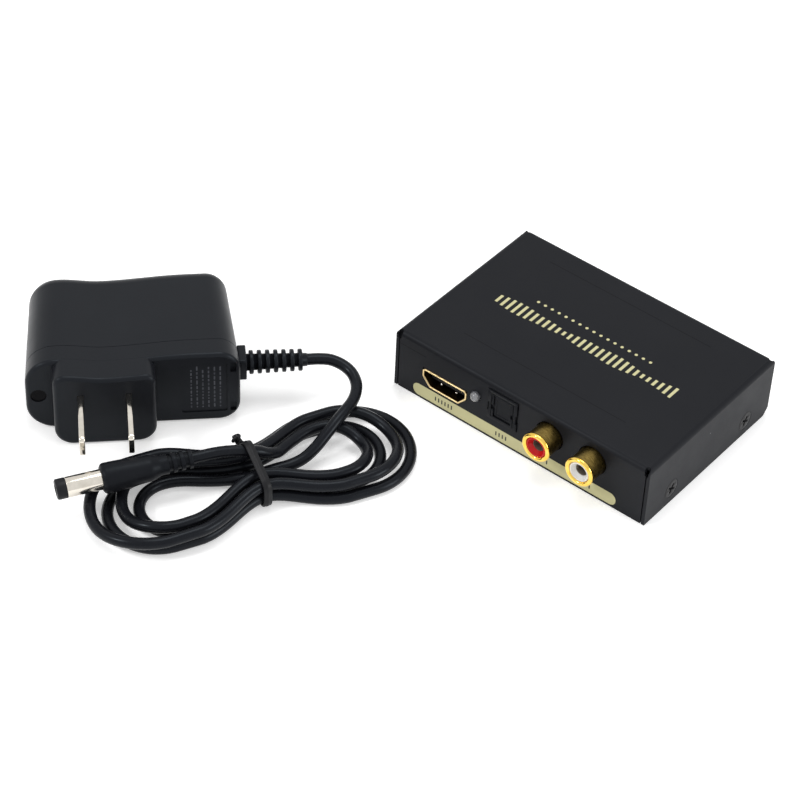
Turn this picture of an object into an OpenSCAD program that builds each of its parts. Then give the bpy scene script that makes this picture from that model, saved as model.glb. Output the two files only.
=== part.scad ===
// An audio extractor for a digital video link: a folded steel box with its ports and circuit
// board, and beside it the plug-in power adapter with its tied lead. Millimetres, +Z up, the
// port side faces -Y, and the origin is the middle of the box's underside.

/* [Enclosure] */
// Width of the enclosure along its port side
box_w = 84; // [82:1:110]
// Depth of the enclosure from the port side to the rear side
box_d = 58; // [57:1:80]
// Height of the enclosure
box_h = 19.5; // [19.3:0.1:30]
// Thickness of the folded sheet steel
sheet = 1; // [0.8:0.1:1.1]
// Outside radius of the folded edges
fold_r = 1.6; // [1.3:0.1:2.4]
// Width of the open seam beside the front and rear flanges
seam = 0.35; // [0.2:0.05:0.5]
// Radius of the round relief at each folded corner
relief_r = 0.75; // [0.5:0.05:1.1]
// Gap round the bottom plate inside the cover's flanges
plate_gap = 0.2; // [0.1:0.05:0.3]
// Chamfer on the lower rear corner of each side flange
corner_cut = 2; // [1:0.5:3]

/* [Side screws] */
// Distance between the two screws of one side
screw_spacing = 34.6; // [28:0.2:38]
// Height of the screw axes above the table
screw_z = 5; // [4.6:0.1:5.6]
// Diameter of the thread
screw_d = 3; // [2.5:0.1:3.2]
// Diameter of the countersunk head
screw_head_d = 5.6; // [5.2:0.1:6]
// Depth of the countersunk head
screw_head_h = 1.4; // [1.2:0.1:1.5]
// Length from the head's face to the tip
screw_len = 4; // [3.4:0.1:4.2]
// Width of the threaded tab behind each screw
tab_w = 9; // [8:0.5:12]
// Height of the threaded tabs above the table
tab_h = 9; // [8.4:0.2:11]

/* [Circuit board] */
// Thickness of the circuit board
board_t = 1.6; // [1.2:0.1:1.8]
// Height of the spacers under the board
spacer_h = 3; // [2.6:0.1:3.4]
// Diameter of the spacers
spacer_d = 4.8; // [4.4:0.1:5.2]
// Space between the cover's side flanges and the board's edges
board_side_gap = 4; // [3.8:0.1:4.6]
// Space between the front and rear flanges and the board's edges
board_end_gap = 0.6; // [0.4:0.1:1]
// Distance of the fixing holes from the board's side edges
board_hole_inset = 2.4; // [2.3:0.1:2.5]
// Distance from the sockets' backs to the heads of the board screws
board_screw_gap = 1; // [0.8:0.1:1.5]
// Thread diameter of the board screws
board_screw_d = 2.2; // [2:0.1:2.6]
// Head diameter of the board screws
board_screw_head_d = 4; // [3.6:0.1:4.2]

/* [Video sockets] */
// Outside width of a video socket
video_w = 14.9; // [14.6:0.1:15.4]
// Outside height of a video socket
video_h = 5.6; // [5.4:0.1:6]
// Wall of the gilded shell
video_wall = 0.45; // [0.3:0.05:0.5]
// Length of the shell from mouth to back
video_len = 11.2; // [10:0.2:12]
// Width of the narrow foot of the shell's outline
video_foot_w = 9.9; // [9:0.1:11]
// Height at which the shell's sides begin to slope inwards
video_shoulder = 2.9; // [2.4:0.1:3.2]
// Distance that the socket mouths stand proud of the panel
video_proud = 0.3; // [0.2:0.1:0.5]
// Middle of the output socket, from the middle of the front
video_out_x = -24.9; // [-26:0.1:-24.4]
// Middle of the input socket, from the middle of the rear side
video_in_x = -11; // [-14:0.5:-9]
// Width of the contact tongue
tongue_w = 11; // [10.8:0.1:11.6]
// Thickness of the contact tongue
tongue_t = 1.5; // [1.2:0.1:1.7]
// Distance of the tongue's edge behind the mouth
tongue_back = 1.7; // [1.4:0.1:2.2]
// Distance between neighbouring contacts
contact_pitch = 1; // [0.9:0.02:1]
// Width of one contact
contact_w = 0.45; // [0.35:0.05:0.55]
// Thickness of one contact
contact_t = 0.16; // [0.12:0.02:0.2]

/* [Status light] */
// Diameter of the light's dome
light_d = 3; // [2.6:0.1:3.4]
// Middle of the light, from the middle of the front
light_x = -14.4; // [-14.7:0.1:-13.6]
// Height of the light above the table
light_z = 11.7; // [11:0.1:12.4]
// Distance that the dome stands proud of the panel
light_proud = 1.6; // [1.3:0.1:2.2]

/* [Optical socket] */
// Width of the optical socket
optical_w = 9.7; // [9.4:0.1:10.4]
// Height of the optical socket's top above the circuit board
optical_h = 11.5; // [11.3:0.1:11.8]
// Length of the optical socket from front to back
optical_len = 14.4; // [14.4:0.1:15.4]
// Middle of the optical socket, from the middle of the front
optical_x = -5.3; // [-5.8:0.1:-4.4]
// Distance that the optical socket stands proud of the panel
optical_proud = 0.4; // [0.2:0.1:0.6]
// Height of the panel's lip that hides the socket's foot
optical_sill = 1.7; // [1.4:0.1:1.9]
// Width of the optical opening
mouth_w = 5.8; // [5.6:0.1:6.2]
// Height of the optical opening
mouth_h = 7.4; // [7.2:0.1:7.6]
// Height of the opening's lower edge above the circuit board
mouth_z = 2.8; // [2.7:0.1:2.9]
// Length of the channel behind the shutter
channel_len = 9.6; // [9.4:0.1:9.8]
// Thickness of the shutter
shutter_t = 0.9; // [0.8:0.05:1]
// Diameter of the shutter's pin
shutter_pin_d = 0.9; // [0.8:0.05:1]
// Radial running clearance of the shutter on its pin
shutter_fit = 0.05; // [0.03:0.01:0.08]

/* [Audio sockets] */
// Diameter of the gilded plug barrel
jack_d = 8.3; // [8:0.1:8.6]
// Diameter of the rounded lip at the barrel's mouth
jack_lip_d = 8.8; // [8.7:0.1:9.2]
// Distance that the barrels stand proud of the panel
jack_len = 6.4; // [5.6:0.1:9]
// Wall of the barrel
jack_wall = 0.5; // [0.4:0.05:0.6]
// Distance between the two barrels
jack_pitch = 14; // [12.6:0.1:14.4]
// Middle between the two barrels, from the middle of the front
jack_x = 17.1; // [16.6:0.1:18]
// Height of the barrels' axes above the table
jack_z = 12.3; // [12:0.1:12.4]
// Diameter of the hole in the coloured insulator
jack_hole_d = 3.8; // [3.6:0.1:4]
// Depth of the block that holds the barrels
jack_block_d = 9.5; // [8.5:0.5:12]

/* [Power socket] */
// Width of the power socket
inlet_w = 9.2; // [9:0.1:10]
// Height of the power socket
inlet_h = 11; // [10.6:0.1:11.6]
// Length of the power socket
inlet_len = 13.6; // [13:0.1:14.4]
// Diameter of the hole that takes the plug
inlet_d = 6.2; // [5.9:0.1:6.6]
// Diameter of the centre pin
inlet_pin_d = 2; // [1.8:0.1:2.1]
// Middle of the power socket, from the middle of the rear side
inlet_x = 26; // [24:0.5:27]

/* [Mode switch] */
// Width of the slide switch
switch_w = 12; // [11.6:0.2:14]
// Height of the slide switch
switch_h = 6; // [5.8:0.1:6.6]
// Depth of the slide switch
switch_d = 5.2; // [5:0.1:6]
// Middle of the switch, from the middle of the rear side
switch_x = 9; // [7:0.5:11]
// Width of the finger knob
knob_w = 2.4; // [2:0.1:3]
// Height of the finger knob
knob_h = 2.2; // [1.8:0.1:2.6]
// Distance that the knob stands proud of the panel
knob_proud = 1.6; // [1.2:0.1:2.4]
// Travel of the knob to each side of the middle
knob_travel = 2; // [1.6:0.1:2.2]

/* [Power adapter] */
// Width of the adapter at the face that carries the plug
adapter_w = 57; // [56:0.5:66]
// Width of the adapter at its rear
adapter_rear_w = 53.4; // [52:0.2:56]
// Height of the adapter at the face that carries the plug
adapter_h = 23.6; // [23.4:0.2:28]
// Height of the adapter at its rear
adapter_rear_h = 22; // [21.6:0.2:23.4]
// Depth of the adapter without the plug block
adapter_d = 38.5; // [35:0.5:44]
// Wall of the moulded shells
adapter_wall = 1.8; // [1.5:0.1:2]
// Depth of the front shell, up to the parting line
adapter_seam = 6.7; // [6.2:0.1:7.6]
// Depth of the gentle dip along the top
dip_depth = 1.2; // [0.4:0.1:1.6]
// Width of the plug block
block_w = 27; // [25:0.5:30]
// Distance that the plug block stands out
block_d = 7; // [6:0.5:9]
// Middle of the plug block, from the middle of the adapter
block_x = -7.7; // [-9:0.1:-7]
// Distance between the two blades
blade_pitch = 12.7; // [12.5:0.1:12.9]
// Length of the blades outside the plug block
blade_len = 16.8; // [15:0.1:17.5]
// Width of each blade
blade_w = 6.3; // [5.8:0.1:6.5]
// Thickness of each blade
blade_t = 1.5; // [1.3:0.1:1.6]
// Height of the blades' middle above the table
blade_z = 14.4; // [14.2:0.1:14.8]

/* [Lead] */
// Diameter of the lead
cord_d = 3.2; // [2.8:0.1:3.3]
// Length of the ribbed strain relief outside the adapter
relief_len = 18.8; // [18.6:0.1:19]
// Side of the strain relief's square collar
collar_w = 7; // [6.4:0.1:7.6]
// Number of ribs on the strain relief
rib_count = 7; // [5:1:8]
// Diameter of the plug's metal barrel
plug_d = 5.5; // [5.3:0.1:5.6]
// Diameter of the hole in the plug
plug_hole_d = 2.1; // [2:0.1:2.5]
// Length of the plug's metal barrel, its dark tip included
plug_len = 12; // [9.5:0.1:12.5]
// Diameter of the plug's grip
grip_d = 8.2; // [7.8:0.1:8.4]
// Length of the plug's grip, its grooved neck included
grip_len = 24.2; // [23:0.1:26]
// Loops in the tied part of the lead
hank_loops = 4; // [4:2:4]
// Width of the band that ties the lead
tie_w = 2.4; // [2:0.1:3.2]
// Thickness of the band that ties the lead
tie_t = 0.9; // [0.7:0.1:1]

/* [Hidden] */
$fn = 48;
overrun = 1;                 // how far a cut runs past the face it opens
half_w = box_w / 2;
half_d = box_d / 2;
inner_top = box_h - sheet;
port_gap = 0.2;              // gap round each port in its panel opening
metal = [0.13, 0.13, 0.14];
plastic = [0.09, 0.09, 0.1];
gold = [0.85, 0.66, 0.28];
steel = [0.75, 0.75, 0.77];

board_z = sheet + spacer_h;
board_top = board_z + board_t;
board_w = box_w - 2 * (sheet + board_side_gap);
board_d = box_d - 2 * (sheet + board_end_gap);
board_screw_fit = 0.1;       // radial gap of the board screws in the board
board_head_h = 1.4;          // height of a board screw's head
board_bite = 2.2;            // length of a board screw inside its spacer
port_depth = max(video_len - video_proud, sheet + port_gap + jack_block_d);
board_holes_y = [-half_d + port_depth + board_screw_gap + board_screw_head_d / 2,
                 half_d - inlet_len - board_screw_gap - board_screw_head_d / 2];

tab_t = sheet;
tab_x = half_w - sheet - plate_gap;   // outer face of the threaded tabs

// placing of parts on the four walls and at mirrored places
module at_front(x, z) { translate([x, -half_d, z]) children(); }
module at_rear(x, z) { translate([x, half_d, z]) rotate([0, 0, 180]) children(); }
module both_sides() { for (side = [0, 1]) mirror([side, 0, 0]) children(); }
module along_y() { rotate([-90, 0, 0]) children(); }
module at_side_screws() {
    both_sides() for (end = [-1, 1])
        translate([half_w, end * screw_spacing / 2, screw_z]) rotate([0, -90, 0]) children();
}
module at_board_holes() {
    both_sides() for (y = board_holes_y)
        translate([board_w / 2 - board_hole_inset, y, 0]) children();
}
module block(size) { translate([-size.x / 2, 0, 0]) cube(size); }

// outline of a folded wall seen from its end: square below, rounded above
module folded_outline(width, height, radius) {
    union() {
        translate([-width / 2, 0]) square([width, height - radius]);
        translate([-width / 2 + radius, 0]) square([width - 2 * radius, height]);
        for (side = [-1, 1]) translate([side * (width / 2 - radius), height - radius]) circle(radius);
    }
}
module folded_lid(width, depth, height, radius) {
    intersection() {
        translate([0, depth / 2, 0]) rotate([90, 0, 0])
            linear_extrude(depth) folded_outline(width, height, radius);
        translate([-width / 2, 0, 0]) rotate([90, 0, 90])
            linear_extrude(width) folded_outline(depth, height, radius);
    }
}

// sizes that the cover's openings share with the ports behind them
jack_opening_d = jack_d + 2 * port_gap + port_gap;
light_opening_d = light_d + port_gap;
switch_z = board_top;
switch_slot_w = knob_w + 2 * knob_travel + 2 * port_gap;
switch_slot_h = knob_h + 2 * port_gap;
inlet_collar_d = inlet_d + 2 * sheet;         // the power socket's round collar fills the hole
inlet_z = board_top + inlet_h - inlet_collar_d / 2 - port_gap;

module top_cover() {
    color(metal) difference() {
        folded_lid(box_w, box_d, box_h, fold_r);
        translate([0, 0, -overrun])
            folded_lid(box_w - 2 * sheet, box_d - 2 * sheet, inner_top + overrun, fold_r - sheet);
        both_sides() for (end = [0, 1]) mirror([0, end, 0]) {
            translate([half_w - sheet - seam, -half_d - overrun, -overrun])
                cube([seam, sheet + overrun, box_h - fold_r + overrun]);
            translate([half_w - sheet - seam / 2, -half_d + sheet / 2, inner_top - fold_r])
                cylinder(r = relief_r, h = fold_r + sheet + overrun);
        }
        both_sides() translate([half_w + overrun, half_d, 0]) rotate([0, -90, 0])
            linear_extrude(sheet + 2 * overrun)
                polygon([[-corner_cut, -2 * corner_cut], [2 * corner_cut, corner_cut],
                         [-corner_cut, corner_cut]]);
        at_side_screws() {
            translate([0, 0, -overrun]) cylinder(r = screw_head_d / 2 + port_gap / 2, h = overrun);
            cylinder(r1 = screw_head_d / 2 + port_gap / 2, r2 = screw_d / 2 + port_gap / 2,
                     h = screw_head_h);
            cylinder(r = screw_d / 2 + port_gap / 2, h = sheet + overrun);
        }
        at_front(video_out_x, board_top) video_prism(port_gap, -overrun, sheet + overrun);
        at_rear(video_in_x, board_top) video_prism(port_gap, -overrun, sheet + overrun);
        at_front(light_x, light_z) translate([0, -overrun, 0]) along_y()
            cylinder(d = light_opening_d, h = sheet + 2 * overrun);
        at_front(optical_x, board_top + optical_sill - port_gap) translate([0, -overrun, 0])
            block([optical_w + 2 * port_gap, sheet + 2 * overrun,
                   optical_h - optical_sill + 2 * port_gap]);
        for (side = [-1, 1]) at_front(jack_x + side * jack_pitch / 2, jack_z)
            translate([0, -overrun, 0]) along_y()
                cylinder(d = jack_opening_d, h = sheet + 2 * overrun);
        at_rear(inlet_x, inlet_z) translate([0, -overrun, 0]) along_y()
            cylinder(d = inlet_collar_d + 2 * port_gap, h = sheet + 2 * overrun);
        at_rear(switch_x, switch_z + switch_h / 2 - switch_slot_h / 2) translate([0, -overrun, 0])
            block([switch_slot_w, sheet + 2 * overrun, switch_slot_h]);
    }
}

module bottom_plate() {
    plate_w = box_w - 2 * (sheet + plate_gap);
    plate_d = box_d - 2 * (sheet + plate_gap);
    color(metal) difference() {
        union() {
            translate([-plate_w / 2, -plate_d / 2, 0]) cube([plate_w, plate_d, sheet]);
            both_sides() for (end = [-1, 1])
                translate([tab_x - tab_t, end * screw_spacing / 2 - tab_w / 2, 0])
                    cube([tab_t, tab_w, tab_h]);
        }
        at_side_screws() {
            translate([0, 0, -overrun]) cylinder(r = screw_d / 2, h = screw_len + 2 * overrun);
            translate([0, 0, sheet + plate_gap - overrun])
                cylinder(r = screw_head_d / 2, h = overrun);
            cylinder(r1 = screw_head_d / 2 + port_gap / 2, r2 = screw_d / 2, h = screw_head_h);
        }
    }
}

module cover_screws() {
    recess = screw_head_d / 2;
    recess_t = screw_head_d / 9;
    color(plastic) at_side_screws() difference() {
        union() {
            cylinder(r1 = screw_head_d / 2, r2 = screw_d / 2, h = screw_head_h);
            cylinder(r = screw_d / 2, h = screw_len);
        }
        for (turn = [0, 90]) rotate([0, 0, turn + 30])
            translate([-recess / 2, -recess_t / 2, -overrun])
                cube([recess, recess_t, overrun + screw_head_h / 2]);
    }
}

module circuit_board() {
    color([0.05, 0.25, 0.13]) difference() {
        translate([-board_w / 2, -board_d / 2, board_z]) cube([board_w, board_d, board_t]);
        at_board_holes() translate([0, 0, board_z - overrun])
            cylinder(r = board_screw_d / 2 + board_screw_fit, h = board_t + 2 * overrun);
    }
}

module board_spacers() {
    color(steel) at_board_holes() translate([0, 0, sheet]) difference() {
        cylinder(d = spacer_d, h = spacer_h);
        translate([0, 0, spacer_h - board_bite]) cylinder(d = board_screw_d, h = board_bite + overrun);
    }
}

module board_screws() {
    slot_w = board_screw_head_d / 6;
    color(steel) at_board_holes() translate([0, 0, board_top]) difference() {
        union() {
            cylinder(d = board_screw_head_d, h = board_head_h);
            translate([0, 0, -board_t - board_bite * 3 / 4])
                cylinder(d = board_screw_d, h = board_t + board_bite);
        }
        translate([-board_screw_head_d, -slot_w / 2, board_head_h / 2])
            cube([2 * board_screw_head_d, slot_w, board_head_h]);
    }
}

// the outline of a video socket: wide above, narrow below
module video_outline(grow) {
    polygon([[-video_w / 2 - grow, video_h + grow], [-video_w / 2 - grow, video_shoulder - grow / 2],
             [-video_foot_w / 2 - grow / 2, -grow], [video_foot_w / 2 + grow / 2, -grow],
             [video_w / 2 + grow, video_shoulder - grow / 2], [video_w / 2 + grow, video_h + grow]]);
}
module video_prism(grow, start, end) {
    translate([0, end, 0]) rotate([90, 0, 0]) linear_extrude(end - start) video_outline(grow);
}
tongue_z = video_h / 2 - tongue_t / 2;
tongue_share = 0.68;         // length of the tongue's thin part as a share of the shell's
tongue_root = video_len * tongue_share;
tongue_fit = 0.05;           // gap of the moulding inside the shell

module video_shell() {
    rib_w = video_w / 12;
    color(gold) difference() {
        video_prism(0, -video_proud, video_len - video_proud);
        video_prism(-video_wall, -video_proud - overrun, video_len - video_proud - video_wall);
        for (side = [-1, 1]) translate([side * video_w / 4, video_len / 4, video_h - 2 * video_wall])
            block([rib_w, video_len / 3, 3 * video_wall]);
    }
}
module video_tongue() {
    back = video_len - video_proud - video_wall - tongue_fit;
    color(plastic) union() {
        video_prism(-video_wall - tongue_fit, tongue_root, back);
        translate([0, tongue_back, tongue_z]) block([tongue_w, back - tongue_back, tongue_t]);
    }
}
module video_contacts() {
    start = tongue_back + contact_w;
    color(gold) {
        for (i = [0 : 9]) translate([(i - 4.5) * contact_pitch, start, tongue_z + tongue_t])
            block([contact_w, tongue_root - start, contact_t]);
        for (i = [0 : 8]) translate([(i - 4) * contact_pitch, start, tongue_z - contact_t])
            block([contact_w, tongue_root - start, contact_t]);
    }
}
module video_out_shell() { at_front(video_out_x, board_top) video_shell(); }
module video_out_tongue() { at_front(video_out_x, board_top) video_tongue(); }
module video_out_contacts() { at_front(video_out_x, board_top) video_contacts(); }
module video_in_shell() { at_rear(video_in_x, board_top) video_shell(); }
module video_in_tongue() { at_rear(video_in_x, board_top) video_tongue(); }
module video_in_contacts() { at_rear(video_in_x, board_top) video_contacts(); }

light_flange_d = light_d * 1.3;
light_flange_t = light_d / 3;
light_back = sheet + port_gap + light_flange_t + light_d / 2;   // rear face of the lens

module status_light() {
    color([0.92, 0.92, 0.9]) at_front(light_x, light_z) union() {
        translate([0, light_d / 2 - light_proud, 0]) sphere(d = light_d);
        translate([0, light_d / 2 - light_proud, 0]) along_y()
            cylinder(d = light_d, h = light_back + light_proud - light_d / 2);
        translate([0, sheet + port_gap, 0]) along_y()
            cylinder(d = light_flange_d, h = light_flange_t);
    }
}
module light_leads() {
    lead_t = light_d / 6;
    lead_reach = light_d / 2;
    color(steel) at_front(light_x, 0) for (side = [-1, 1]) {
        translate([side * light_d / 4 - lead_t / 2, light_back, light_z - lead_t / 2])
            cube([lead_t, lead_reach, lead_t]);
        translate([side * light_d / 4 - lead_t / 2, light_back + lead_reach - lead_t, board_top])
            cube([lead_t, lead_t, light_z - board_top]);
    }
}

// places inside the optical socket, measured from the panel's outer face and the board's top
lip_t = 0.9;                 // thickness of the frame round the optical opening
frame_step = 0.25;           // how far that frame hides the shutter's edge
knuckle_d = shutter_pin_d + shutter_t;
roof_t = 0.6;                // thickness of the optical socket's roof
shutter_gap = 0.2;           // gap between the shutter and the channel
channel_w = mouth_w + 2 * frame_step;
channel_z = mouth_z - frame_step;
channel_h = optical_h - roof_t - channel_z;
hinge_y = -optical_proud + lip_t + shutter_gap + knuckle_d / 2;
hinge_z = channel_z + channel_h - shutter_gap - knuckle_d / 2;
channel_end = -optical_proud + lip_t + channel_len;
emitter_w = optical_w * 2 / 3;
emitter_h = mouth_h * 3 / 4;
emitter_t = 2.4;             // depth of the light source's moulding
lens_d = 2.4;                // diameter of the light guide
lens_len = 1.2;              // length of the light guide in its wall
lens_z = mouth_z + mouth_h / 2 - shutter_gap;
fit = 0.05;                  // gap of a piece pressed into its seat

module optical_socket() {
    notch_h = mouth_h / 5;
    notch_w = frame_step * 3;
    color(plastic) at_front(optical_x, board_top) difference() {
        translate([0, -optical_proud, 0]) block([optical_w, optical_len, optical_h]);
        translate([0, -optical_proud - overrun, -overrun])
            block([optical_w + 2 * overrun, optical_proud + overrun + sheet + port_gap,
                   optical_sill + overrun]);
        translate([0, -optical_proud - overrun, mouth_z])
            block([mouth_w, lip_t + 2 * overrun, mouth_h]);
        translate([0, -optical_proud + lip_t, channel_z]) block([channel_w, channel_len, channel_h]);
        for (side = [-1, 1]) {
            translate([side * (mouth_w + notch_w) / 2, -optical_proud - overrun,
                       mouth_z + mouth_h / 3])
                block([notch_w, overrun + lip_t * 2 / 3, notch_h]);
            translate([side * optical_w / 2, -optical_proud - overrun, mouth_z + mouth_h / 5])
                block([notch_w, overrun + lip_t, notch_h * 2]);
        }
        translate([-channel_w / 2 - pin_seat, hinge_y, hinge_z]) rotate([0, 90, 0])
            cylinder(d = shutter_pin_d, h = channel_w + 2 * pin_seat);
        translate([0, channel_end - overrun, lens_z]) along_y()
            cylinder(d = lens_d + 2 * fit, h = lens_len + 2 * overrun);
        translate([0, channel_end + lens_len, lens_z - emitter_h / 2 - fit])
            block([emitter_w + 2 * fit, optical_len, emitter_h + 2 * fit]);
    }
}
pin_seat = 1.1;              // how far the shutter's pin runs into each wall

module optical_shutter() {
    flap_w = channel_w - 2 * shutter_gap;
    flap_h = hinge_z - channel_z - shutter_gap;
    front = hinge_y - knuckle_d / 2;
    border = flap_w / 7;
    field_share = 0.62;      // height of the sunk field as a share of the flap's
    color(plastic) at_front(optical_x, board_top) difference() {
        union() {
            translate([-flap_w / 2, hinge_y, hinge_z]) rotate([0, 90, 0])
                cylinder(d = knuckle_d, h = flap_w - spring_len - shutter_gap);
            translate([0, front, hinge_z - flap_h]) block([flap_w, shutter_t, flap_h - knuckle_d / 2]);
            translate([-flap_w / 2, front, hinge_z - flap_h])
                cube([flap_w - spring_len - shutter_gap, shutter_t, flap_h]);
        }
        translate([-flap_w, hinge_y, hinge_z]) rotate([0, 90, 0])
            cylinder(r = shutter_pin_d / 2 + shutter_fit, h = 2 * flap_w);
        translate([0, front - overrun, hinge_z - flap_h + border])
            block([flap_w - 2 * border, overrun + shutter_t / 4, flap_h * field_share]);
    }
}
spring_len = 1.5;            // length of the coil on the pin, beside the shutter's knuckle

module shutter_pin() {
    color(steel) at_front(optical_x, board_top)
        translate([-channel_w / 2 - pin_seat + fit, hinge_y, hinge_z]) rotate([0, 90, 0])
            cylinder(d = shutter_pin_d, h = channel_w + 2 * pin_seat - 2 * fit);
}
module shutter_spring() {
    wire = shutter_pin_d / 3;
    color(steel) at_front(optical_x, board_top) difference() {
        translate([channel_w / 2 - spring_len, hinge_y, hinge_z]) rotate([0, 90, 0])
            cylinder(r = shutter_pin_d / 2 + shutter_fit + wire, h = spring_len);
        translate([channel_w / 2 - spring_len - overrun, hinge_y, hinge_z]) rotate([0, 90, 0])
            cylinder(r = shutter_pin_d / 2 + shutter_fit, h = spring_len + 2 * overrun);
    }
}
module optical_emitter() {
    color([0.55, 0.1, 0.12]) at_front(optical_x, board_top) union() {
        translate([0, channel_end + lens_len, lens_z - emitter_h / 2])
            block([emitter_w, emitter_t, emitter_h]);
        translate([0, channel_end, lens_z]) along_y()
            cylinder(d = lens_d, h = lens_len + emitter_t / 2);
    }
}

// the audio sockets: h is measured outwards from the panel's outer face
jack_r = jack_d / 2;
jack_base = -sheet - port_gap;               // front face of the block inside the panel
jack_root = jack_base - jack_block_d / 2;    // how far the barrels run into the block
insulator_r = jack_r - jack_wall - fit;
insulator_recess = 0.6;                      // how far the insulator lies behind the lip
jack_contact_wall = 0.25;                    // wall of the centre contact
module jack_turned() { rotate([90, 0, 0]) rotate_extrude($fn = 64) children(); }
module at_jack(side) { at_front(jack_x + side * jack_pitch / 2, jack_z) children(); }

module socket_barrel() {
    lip = (jack_lip_d - jack_d) / 2 + jack_wall;
    color(gold) jack_turned() difference() {
        union() {
            translate([0, jack_root]) square([jack_r, jack_len - jack_root - lip / 2]);
            translate([jack_lip_d / 2 - lip / 2, jack_len - lip / 2]) circle(lip / 2);
            translate([0, jack_len - 2 * lip]) square([jack_lip_d / 2 - lip / 8, 3 * lip / 2]);
        }
        translate([0, jack_root - overrun])
            square([jack_r - jack_wall, jack_len - jack_root + 2 * overrun]);
        translate([-2 * jack_r, jack_root - overrun])
            square([2 * jack_r, jack_len - jack_root + 3 * overrun]);
    }
}
module socket_insulator(tone) {
    front = jack_len - insulator_recess;
    dish = insulator_recess;
    color(tone) jack_turned() polygon([
        [jack_hole_d / 2, jack_root], [insulator_r, jack_root], [insulator_r, front - dish / 2],
        [insulator_r - dish / 2, front], [jack_hole_d / 2 + dish, front],
        [jack_hole_d / 2, front - 3 * dish / 2]
    ]);
}
module socket_contact() {
    contact_r = jack_hole_d / 2 - fit;
    color(gold) jack_turned() translate([contact_r - jack_contact_wall, jack_root])
        square([jack_contact_wall, jack_len * 3 / 4 - jack_root]);
}
module audio_socket_block() {
    housing_w = jack_pitch + jack_lip_d + 2 * port_gap + sheet;
    color(plastic) difference() {
        at_front(jack_x, board_top) translate([0, -jack_base, 0])
            block([housing_w, jack_block_d, jack_z - board_top + jack_lip_d / 2 + sheet]);
        for (side = [-1, 1]) at_jack(side) translate([0, -jack_base - overrun, 0]) along_y() {
            cylinder(r = jack_r + fit, h = overrun + jack_block_d / 2);
            cylinder(d = jack_hole_d, h = overrun + jack_block_d * 3 / 4);
        }
    }
}
module red_socket_barrel() { at_jack(-1) socket_barrel(); }
module red_socket_insulator() { at_jack(-1) socket_insulator([0.8, 0.08, 0.08]); }
module red_socket_contact() { at_jack(-1) socket_contact(); }
module white_socket_barrel() { at_jack(1) socket_barrel(); }
module white_socket_insulator() { at_jack(1) socket_insulator([0.93, 0.92, 0.9]); }
module white_socket_contact() { at_jack(1) socket_contact(); }

// the power socket: its round collar fills the hole in the rear flange
inlet_depth = inlet_len * 3 / 4;
inlet_front = sheet + port_gap;
inlet_spring_t = 0.4;        // thickness of the spring strip beside the hole
inlet_spring_w = 2.2;        // width of that strip

module power_socket() {
    color(plastic) at_rear(inlet_x, board_top) difference() {
        union() {
            translate([0, inlet_front, 0]) block([inlet_w, inlet_len - inlet_front, inlet_h]);
            translate([0, 0, inlet_z - board_top]) along_y()
                cylinder(d = inlet_collar_d, h = inlet_front + overrun);
        }
        translate([0, -overrun, inlet_z - board_top]) along_y()
            cylinder(d = inlet_d, h = inlet_depth + overrun);
        translate([0, inlet_depth - overrun, inlet_z - board_top]) along_y()
            cylinder(d = inlet_pin_d, h = inlet_len);
        translate([0, inlet_front + sheet, inlet_z - board_top - inlet_d / 2 - inlet_spring_t])
            block([inlet_spring_w + 2 * fit, inlet_depth - inlet_front - sheet, inlet_d / 2]);
    }
}
module power_socket_pin() {
    color(steel) at_rear(inlet_x, inlet_z) union() {
        translate([0, sheet + inlet_pin_d / 2, 0]) along_y()
            cylinder(d = inlet_pin_d, h = inlet_len - sheet - inlet_pin_d / 2);
        translate([0, sheet + inlet_pin_d / 2, 0]) sphere(d = inlet_pin_d);
    }
}
module power_socket_spring() {
    color(steel) at_rear(inlet_x, inlet_z)
        translate([0, inlet_front + sheet + fit, -inlet_d / 2 - inlet_spring_t])
            block([inlet_spring_w, inlet_depth - inlet_front - sheet - 2 * fit, inlet_spring_t]);
}

// the mode switch: a frame behind the panel and a knob that slides along X
switch_wall = 0.8;           // wall of the switch's frame
switch_gap = 0.12;           // gap round the sliding knob's foot
switch_front = sheet + port_gap;
foot_w = switch_w - 2 * switch_wall - 2 * knob_travel - 2 * switch_gap;
foot_h = switch_h - 2 * switch_wall - 2 * switch_gap;
foot_d = switch_d - 2 * switch_wall - 2 * switch_gap;

module mode_switch_frame() {
    color(steel) at_rear(switch_x, switch_z) translate([0, switch_front, 0]) difference() {
        block([switch_w, switch_d, switch_h]);
        translate([0, switch_wall, switch_wall])
            block([switch_w - 2 * switch_wall, switch_d - 2 * switch_wall, switch_h - 2 * switch_wall]);
        translate([0, -overrun, (switch_h - switch_slot_h) / 2])
            block([switch_slot_w, switch_wall + 2 * overrun, switch_slot_h]);
    }
}
module mode_switch_knob() {
    reach = switch_front + switch_wall + switch_gap;
    ridge = knob_w / 6;
    color(plastic) at_rear(switch_x, switch_z) difference() {
        union() {
            translate([0, reach, switch_wall + switch_gap]) block([foot_w, foot_d, foot_h]);
            translate([0, -knob_proud, (switch_h - knob_h) / 2])
                block([knob_w, reach + knob_proud + overrun, knob_h]);
        }
        for (i = [-1, 1])
            translate([i * ridge * 3 / 2, -knob_proud - overrun, (switch_h - knob_h) / 2 - overrun])
                block([ridge, overrun + ridge, knob_h + 2 * overrun]);
    }
}

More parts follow.
